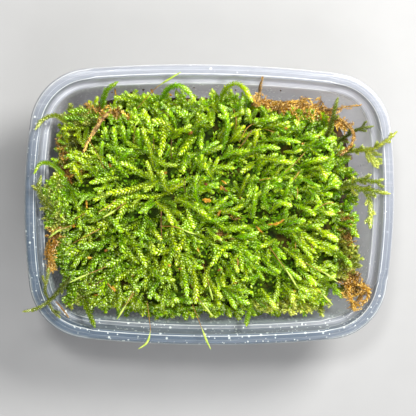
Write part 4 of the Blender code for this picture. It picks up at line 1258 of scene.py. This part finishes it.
def crumble(pile, draw, points, spread, count, size=1.0, pale=0.0):
    # short dead shoots lying every way along a line
    line = catmullRom(points, 1 * mm)
    for number in range(count):
        middle = Vector(line[draw.randrange(len(line))])
        middle += Vector((draw.gauss(0, 0.5) * spread, draw.gauss(0, 0.5) * spread, draw.uniform(-0.9, 1.1))) * mm
        turn = draw.uniform(0, math.tau)
        aim = Vector((math.cos(turn), math.sin(turn), draw.uniform(-0.4, 0.5))) * draw.uniform(1, 3) * mm
        bend = Vector((-aim.y, aim.x, 0)) * draw.uniform(-0.5, 0.5)
        path = [middle - aim, middle + bend, middle + aim]
        if keptInside(path, 0.6 * mm):
            bright = draw.uniform(0.2 + pale, 1 + pale)
            pile.shoot(path, draw, bright, size * draw.uniform(0.75, 1.15), deadStyle, 0.15)


def growOldMoss():
    draw = random.Random(oldGrowth["seed"])
    pile = LeafPile()
    for step in range(oldGrowth["flank"]):
        angle = math.tau * (step + draw.uniform(-0.5, 0.5)) / oldGrowth["flank"]
        z = draw.uniform(4, 29) * mm
        share = (z - layer["base"]) / (layer["top"] - layer["base"])
        narrow = footprintRadius(angle, layer["foot"])
        wide = footprintRadius(angle, layer["reach"])
        out = narrow + (wide - narrow) * share - 1.4 * mm
        swing = draw.uniform(-7, 7) * mm / out
        rise = draw.uniform(-5, 5) * mm
        path = []
        for part in (0, 0.5, 1):
            turn = angle + swing * part
            far = out * footprintRadius(turn, layer["reach"]) / footprintRadius(angle, layer["reach"])
            lift = max(z + rise * part + draw.uniform(-0.8, 0.8) * mm, 3 * mm)
            path.append(Vector((far * math.cos(turn), far * math.sin(turn), lift)))
        if keptInside(path, 0.9 * mm):
            pile.shoot(path, draw, draw.uniform(0.4, 1.3), draw.uniform(0.8, 1.1), deadStyle, 0.15)
    return pile


# dead moss in sight beyond that of the solids: how golden, its spread in mm, its shoots and its line
deadRuns = [
    (0.85, 1.7, 50, [(20.5, 49, 41), (27, 47.5, 43), (34.5, 45.5, 43.5), (41, 44.5, 43)]),
    (0.8, 1.7, 50, [(33, 44.5, 42), (41.5, 43.5, 43.5), (50, 43.5, 43.5), (53, 44, 42)]),
    (0.7, 0.7, 18, [(40, 47, 43), (43, 49, 44.5), (47, 49.5, 45), (51, 48, 44.5), (52.5, 45, 43)]),
    (0.95, 1.1, 24, [(54, 43, 42), (58, 40.5, 44), (61, 38.5, 44.5)]),
    (0.95, 2.0, 30, [(-72, -14.5, 44), (-73.5, -20, 45), (-74, -25, 45), (-73.5, -31, 44)]),
    (0.6, 1.6, 20, [(66, -30, 43), (70, -35, 45), (74.5, -39, 45.5), (75, -43, 45)]),
    (0.5, 2.6, 26, [(68, -37, 45), (70, -40, 46), (71.5, -42, 46)]),
    (0.5, 1.0, 20, [(-70, 29, 41), (-68.5, 24.5, 42), (-68.5, 20, 41)]),
    (0.1, 2.0, 34, [(-69, 15.5, 40), (-66.5, 13, 42), (-67.5, 9, 41)]),
    (0.1, 1.4, 16, [(-65, 18, 41), (-60, 16.5, 43), (-57, 14.5, 42.5)]),
    (0.4, 1.0, 14, [(-60, 43.5, 41), (-55, 44, 43), (-50, 44.5, 43)]),
    (0.5, 0.9, 14, [(-47, 42, 44), (-42, 42.5, 45.5), (-38, 40, 45)]),
    (0.2, 1.6, 20, [(62, -2, 41), (64.5, -6, 42), (64, -11, 42)]),
    (0.3, 1.6, 26, [(65, -12, 41), (66.5, -18, 42), (66, -24, 41)]),
    (0.3, 1.2, 16, [(66, -26, 41), (67, -31, 42), (67, -36, 42)]),
    (0.2, 1.3, 14, [(4, -13.5, 43.5), (7.5, -15.5, 43.5)]),
    (0.5, 0.8, 6, [(9, -4, 43.5), (11.5, -5.5, 43.5)]),
]


def growDeadRuns():
    # the golden-brown dead moss that the green leaves bare at the back right, and smaller runs round the edge
    draw = random.Random(77)
    piles = {"golden": LeafPile(), "brown": LeafPile()}
    for golden, spread, count, points in deadRuns:
        crumble(piles["golden"], draw, inMetres(points), spread, round(count * golden))
        crumble(piles["brown"], draw, inMetres(points), spread, round(count * (1 - golden)))
    for lift in (0.9, 1.3):
        ledge = [(-71.5, -45.5, 44.4 + lift), (-68.5, -49, 44.2 + lift), (-65.5, -53, 44 + lift)]
        piles["golden"].shoot(inMetres(ledge), draw, 0.6, 0.5, deadStyle, 0.1)
    for path in strands:
        for copy in range(3):
            sway = Vector((draw.uniform(-2, 2), draw.uniform(-1.2, 1.2), draw.uniform(-1, 1.6))) * mm
            loop = [p + sway + Vector([draw.uniform(-1.2, 1.2) * mm for _ in range(3)]) for p in inMetres(path)]
            if keptInside(loop, 0.8 * mm):
                piles["golden"].shoot(loop, draw, draw.uniform(0.2, 1), draw.uniform(0.8, 1.1), deadStyle, 0.1)
    return piles


# ragged fringes of the mat: leaf, freshness, heading, its spread, shoots, middle, half widths and height
fringes = [
    ("dry", 1.1, 180, 60, 36, (-70.5, 1), (4, 10), 45),
    ("green", 1.0, 180, 60, 20, (-68.5, 2), (4, 10), 45.5),
    ("dry", 0.7, -30, 60, 26, (64.5, -30), (2.5, 10), 42.5),
    ("dry", 0.8, 280, 40, 26, (38, -45.5), (18, 2), 42),
    ("dry", 0.45, 110, 50, 30, (-60, 37.5), (8, 2.5), 42),
    ("dry", 0.25, 160, 60, 20, (-64, 28), (2, 8), 41),
    ("green", 0.6, 200, 70, 22, (-67, -24), (4, 9), 42),
    ("green", 0.8, 240, 60, 34, (-57, -40), (10, 5), 42),
    ("dry", 0.7, 250, 60, 10, (-62, -42), (5, 4), 42),
    ("green", 0.7, 90, 60, 26, (-25, 46), (18, 2.5), 42),
    ("green", 0.75, 90, 60, 16, (8, 46), (12, 2.5), 42),
    ("green", 0.6, 0, 70, 24, (62, 4), (4, 14), 42),
    ("dry", 0.4, 0, 70, 18, (63, -25), (3, 10), 41),
    ("green", 0.75, 90, 60, 34, (37, 39), (17, 2), 43),
    ("green", 0.7, 270, 60, 26, (0, -48), (34, 2), 41),
    ("green", 0.7, 300, 60, 20, (48, -42), (9, 4), 41),
]


def growFringes():
    draw = random.Random(31)
    piles = {"green": LeafPile(), "dry": LeafPile()}
    for leaf, fresh, heading, swing, count, middle, half, height in fringes:
        for number in range(count):
            x = (middle[0] + draw.uniform(-1, 1) * half[0]) * mm
            y = (middle[1] + draw.uniform(-1, 1) * half[1]) * mm
            turn = math.radians(heading + draw.uniform(-1, 1) * swing)
            reach = draw.uniform(3, 7) * mm
            path = []
            for share, rise in ((0, -3), (0.5, 0.3), (1, draw.uniform(-0.8, 1.2))):
                bend = turn + share * 0.3
                step = Vector((math.cos(bend), math.sin(bend), 0)) * reach * share
                path.append(Vector((x, y, (height + rise) * mm)) + step)
            while not keptInside(path, 1.2 * mm) and path[2].length < 0.2:
                path = [p * 0.97 + Vector((0, 0, p.z * 0.03)) for p in path]
            pile = piles[leaf]
            bright = fresh * draw.uniform(0.7, 1.15)
            pile.shoot(path, draw, bright, draw.uniform(0.75, 1.05), bare=0.15)
            addBranches(pile, path, draw, draw.choice((0, 1, 1, 2)), bright, 0.75, 0.5, 0.15)
    return piles


# ---- loose shoots, spore stalks and dead stems

# a loose shoot's leaf, how fresh and how thick it is, and its side shoots beyond those of its solid
looseLook = {
    "shoot_left_corner": ("dry", 1.3, 0.85, 0),
    "shoot_left_arch": ("green", 1.1, 0.72, 0),
    "shoot_left_edge": ("dry", 0.95, 1.0, 5),
    "shoot_back_left_upright": ("green", 0.6, 0.95, 0),
    "shoot_back_arch": ("green", 0.9, 0.95, 0),
    "shoot_back_loop": ("green", 0.8, 0.95, 0),
    "shoot_back_right_upright": ("dry", 0.55, 0.85, 2),
    "shoot_right_olive": ("dry", 0.42, 0.7, 5),
    "shoot_right_over_rim": ("dry", 1.2, 0.85, 9),
    "shoot_right_fork": ("dry", 1.2, 1.0, 4),
    "shoot_front_left_over_rim": ("dry", 0.8, 0.75, 1),
}


def makeLooseShoots(looks):
    draw = random.Random(8)
    for name, stems in loose.items():
        pile = LeafPile()
        leaf, fresh, size, branches = looseLook.get(name, ("green", 0.85, 0.95, 1))
        for number, stem in enumerate(stems):
            path = inMetres(stem)
            pile.shoot(path, draw, fresh, size * (0.85 if number else 1))
            addBranches(pile, path, draw, branches, fresh, size * 0.7, 0.7)
        piece = pile.build(name.replace("_", " ").title().replace(" ", ""))
        finishPiece(piece, looks[leaf], "green_moss", name)


def makeTufts(material):
    draw = random.Random(9)
    for name, stems in tufts.items():
        pile = LeafPile()
        pale = 0.5 if name == "brown_tuft_left" else 0
        for stem in stems:
            for copy in range(2):
                path = [p + Vector([draw.uniform(-0.8, 0.8) * mm for _ in range(3)]) for p in inMetres(stem)]
                pile.shoot(path, draw, draw.uniform(0.3, 1) + pale, 1.05, deadStyle, 0.1)
            crumble(pile, draw, inMetres(stem), 1.6, 20, 0.95, pale)
        piece = pile.build(name.replace("_", " ").title().replace(" ", ""))
        finishPiece(piece, material, "brown_moss", name)


def tubeArrays(path, radii, sides, hood, start):
    tangent, up, side = framesAlong(path)
    ring = []
    for k in range(sides):
        angle = k * math.tau / sides
        ring.append(path + radii[:, None] * (math.cos(angle) * side + math.sin(angle) * up))
    points = np.stack(ring, axis=1).reshape(-1, 3)
    count = len(path)
    faces = []
    for k in range(sides):
        a = start + np.arange(count - 1) * sides + k
        b = start + np.arange(count - 1) * sides + (k + 1) % sides
        faces.append(np.stack([a, b, b + sides], axis=1))
        faces.append(np.stack([a, b + sides, a + sides], axis=1))
    for end in (0, count - 1):
        first = start + end * sides
        for k in range(1, sides - 1):
            corner = [first, first + k + 1, first + k] if end == 0 else [first, first + k, first + k + 1]
            faces.append(np.array([corner]))
    shade = np.ones((count * sides, 4)) * 0.5
    shade[:, 0] = np.repeat(hood, sides)
    return points, np.vstack(faces), shade


def makeStalks(material):
    for number, points in enumerate(stalks, 1):
        path = catmullRom(inMetres(points), 0.45 * mm)
        share = np.linspace(0, 1, len(path))
        swell = np.clip((share - 0.62) / 0.14, 0, 1)
        close = np.clip((1 - share) / 0.16, 0, 1)
        radii = (0.17 + 0.36 * swell * swell * (3 - 2 * swell) * close) * mm
        radii[-1] = 0.04 * mm
        hood = np.clip((share - 0.58) / 0.08, 0, 1)
        piece = meshFromArrays(f"SporeStalk{number:02d}", *tubeArrays(path, radii, 8, hood, 0))
        finishPiece(piece, material, "spore_stalk", f"spore_stalk_{number:02d}")


def makeThinStems(material):
    pile = []
    start = 0
    for golden, radius, lift, hooded, *places in thinStems:
        points = [Vector((x * mm, y * mm, matHeight(x * mm, y * mm) + (lift - 0.8) * mm)) for x, y in places]
        points[0].z -= 2.5 * mm
        path = catmullRom(points, 0.5 * mm)
        share = np.linspace(0, 1, len(path))
        hood = hooded * np.clip((share - 0.6) / 0.08, 0, 1)
        swell = np.sin(np.clip((share - 0.62) / 0.38, 0, 1) * math.pi) * hooded
        radii = (radius * 0.75 * (1 - 0.35 * share) + 0.3 * swell) * mm
        points, faces, shade = tubeArrays(path, radii, 6, hood, start)
        shade[:, 1] = golden
        pile.append((points, faces, shade))
        start += len(points)
    arrays = [np.vstack([made[k] for made in pile]) for k in range(3)]
    finishPiece(meshFromArrays("thinStems", *arrays), material, "spore_stalk")


def makeFlakes(material):
    # each flake is a bent, ragged scale lying on the leaves
    draw = random.Random(21)
    points, faces, shade = [], [], []
    stuck = []
    for x, z, size in specks:
        y = tub["width"] / mm / 2 - x * x / (2 * tub["longSideRadius"] / mm) - wallInset(z * mm) / mm - 0.3
        stuck.append((x, y, size, size, 0, 0, z - 0.2))
    for x, y, length, width, heading, orange, *height in flakes + stuck:
        turn = math.radians(heading)
        along = Vector((math.cos(turn), math.sin(turn), draw.uniform(-0.15, 0.25)))
        across = Vector((-math.sin(turn), math.cos(turn), draw.uniform(-0.2, 0.2)))
        middle = Vector((x * mm, y * mm, height[0] * mm if height else matHeight(x * mm, y * mm) + 2.6 * mm))
        first = len(points)
        for row in range(7):
            u = row / 3 - 1
            wide = math.sqrt(max(1 - u * u * 0.8, 0))
            for v, rise in ((-draw.uniform(0.3, 1.1), 0), (0, 0.12), (draw.uniform(0.3, 1.1), 0)):
                place = middle + along * u * length * 0.5 * mm + across * v * wide * width * 0.5 * mm
                place.z += (rise * width * 0.6 - u * u * length * 0.12 + draw.uniform(-0.1, 0.1)) * mm
                points.append(place)
                shade.append((orange, draw.random(), abs(u), 1))
        for row in range(6):
            for column in range(2):
                a = first + row * 3 + column
                faces += [(a, a + 1, a + 4), (a, a + 4, a + 3)]
    piece = meshFromArrays("litterFlakes", np.array(points), np.array(faces), np.array(shade))
    finishPiece(piece, material, "straw")


# where a dead stem is thick with crumbled leaves: which of its points, spread in mm and shoots
raggedParts = {
    "dry_stem_left": [(slice(0, 2), 0.8, 7)],
    "dead_stem_curl": [(slice(0, 2), 0.9, 10), (slice(2, 5), 0.2, 5)],
    "dead_stem_back": [(slice(0, 2), 0.9, 12)],
    "dead_stem_right": [(slice(0, 3), 0.5, 8)],
}


def makeDeadStems(material, leaf):
    draw = random.Random(4)
    for name, (radius, points) in deadStems.items():
        pile = []
        start = 0
        for copy in range(3):
            sway = [Vector([draw.uniform(-0.6, 0.6) * mm for _ in range(3)]) for _ in points]
            path = catmullRom([p + s for p, s in zip(inMetres(points), sway)], 0.6 * mm)
            share = np.linspace(0, 1, len(path))
            ragged = np.array([draw.uniform(0.7, 1.2) for _ in share])
            radii = radius * mm * 0.72 * ragged * (1 - 0.6 * share)
            made = tubeArrays(path, radii, 6, share, start)
            start += len(made[0])
            pile.append(made)
        arrays = [np.vstack([made[k] for made in pile]) for k in range(3)]
        title = name.replace("_", " ").title().replace(" ", "")
        finishPiece(meshFromArrays(title, *arrays), material, "straw", name)
        pile = LeafPile()
        pile.shoot(inMetres(points), draw, 0.8, 0.55 + 0.25 * radius, deadStyle, 0.2)
        for part, spread, count in raggedParts.get(name, []):
            crumble(pile, draw, inMetres(points[part]), spread, count, 0.7)
        finishPiece(pile.build(title + "Leaves"), leaf, "straw", name)


# ---- room, light and camera

view = {
    "place": (-0.0316552, 0.0278575, 0.5334530),
    "turn": (-0.0603600, -0.0612697, 0.0157692),
    "lens": 90.87,
}

lights = [
    ("keyLight", (0.27, 0.29, 0.48), 0.20, 6.7, (1.0, 0.99, 0.95)),
    ("sideGlint", (-0.10, 0.22, 0.70), 0.10, 3.0, (1.0, 1.0, 0.97)),
    ("fillLight", (0.10, -0.40, 0.55), 0.40, 2.9, (0.99, 0.99, 1.0)),
]


def makeRoom():
    bpy.ops.mesh.primitive_plane_add(size=6, location=(0, 0, 0))
    floor = bpy.context.object
    floor.name = "floor"
    floor.data.materials.append(floorFinish())
    for name, place, size, power, colour in lights:
        lamp = bpy.data.lights.new(name, "AREA")
        lamp.size = size
        lamp.energy = power
        lamp.color = colour
        holder = bpy.data.objects.new(name, lamp)
        holder.location = place
        holder.rotation_euler = (Vector((0, 0, 0.03)) - Vector(place)).to_track_quat("-Z", "Y").to_euler()
        bpy.context.scene.collection.objects.link(holder)
    world = bpy.data.worlds.new("studio")
    world.use_nodes = True
    world.node_tree.nodes["Background"].inputs["Color"].default_value = (0.90, 0.92, 0.94, 1)
    world.node_tree.nodes["Background"].inputs["Strength"].default_value = 0.12
    bpy.context.scene.world = world
    camera = bpy.data.objects.new("camera", bpy.data.cameras.new("camera"))
    camera.location = view["place"]
    camera.rotation_euler = Euler(view["turn"], "XYZ")
    camera.data.lens = view["lens"]
    camera.data.sensor_width = 36
    bpy.context.scene.collection.objects.link(camera)
    bpy.context.scene.camera = camera
    bpy.context.scene.view_settings.view_transform = "Standard"


greenLeaf = leafFinish(
    "greenLeaf", (0.035, 0.105, 0.0004), (0.25, 0.56, 0.0008), (0.47, 0.59, 0.0015), (0.43, 0.53, 0.04), 0.1, 1
)
# a darker, duller copy of the green leaf for the bed leaves down in the gaps: painted shade
paintedShadeLeaf = leafFinish(
    "paintedShadeLeaf", (0.016, 0.045, 0.0004), (0.11, 0.33, 0.001), (0.25, 0.36, 0.001), (0.30, 0.42, 0.01), 0, 0.05
)
dryLeaf = leafFinish(
    "dryLeaf", (0.05, 0.065, 0.003), (0.22, 0.32, 0.006), (0.50, 0.52, 0.02), (0.74, 0.76, 0.24), 0.25, 0.8
)
brownLeaf = leafFinish(
    "brownLeaf", (0.05, 0.02, 0.003), (0.20, 0.09, 0.012), (0.34, 0.19, 0.025), (0.50, 0.33, 0.10), 0.3, 0.2
)
goldLeaf = leafFinish(
    "goldLeaf", (0.14, 0.045, 0.002), (0.52, 0.22, 0.004), (0.94, 0.56, 0.02), (0.98, 0.82, 0.34), 0.3, 0.8
)

makeRoom()
makeTub()
print("tub made")
makeBed()
makeOldMoss()
print("bed and old moss made")
matPiles = growMat()
matPiles["crownShoots"] = growCrown()
for pileName, pile in matPiles.items():
    print(pileName, pile.leaves(), "leaves")
    # the bed leaves in the gaps take the darker leaf, painted shade
    look = paintedShadeLeaf if pileName == "bedLeaves" else greenLeaf
    finishPiece(pile.build(pileName), look, "green_moss", "green_moss_mat")
finishPiece(growOldMoss().build("oldMossStrands"), brownLeaf, "brown_moss", "brown_moss_layer")
deadPiles = growDeadRuns()
finishPiece(deadPiles["golden"].build("goldenStrands"), goldLeaf, "brown_moss", "brown_moss_layer")
finishPiece(deadPiles["brown"].build("brownStrands"), brownLeaf, "brown_moss", "brown_moss_layer")
fringePiles = growFringes()
finishPiece(fringePiles["green"].build("greenFringe"), greenLeaf, "green_moss", "green_moss_mat")
finishPiece(fringePiles["dry"].build("dryFringe"), dryLeaf, "green_moss", "green_moss_mat")
makeLooseShoots({"green": greenLeaf, "dry": dryLeaf})
makeTufts(goldLeaf)
stalkLook = stalkFinish()
makeStalks(stalkLook)
makeThinStems(stalkLook)
makeDeadStems(strawFinish(), goldLeaf)
makeFlakes(flakeFinish())
print("loose pieces made")

bpy.context.view_layer.update()
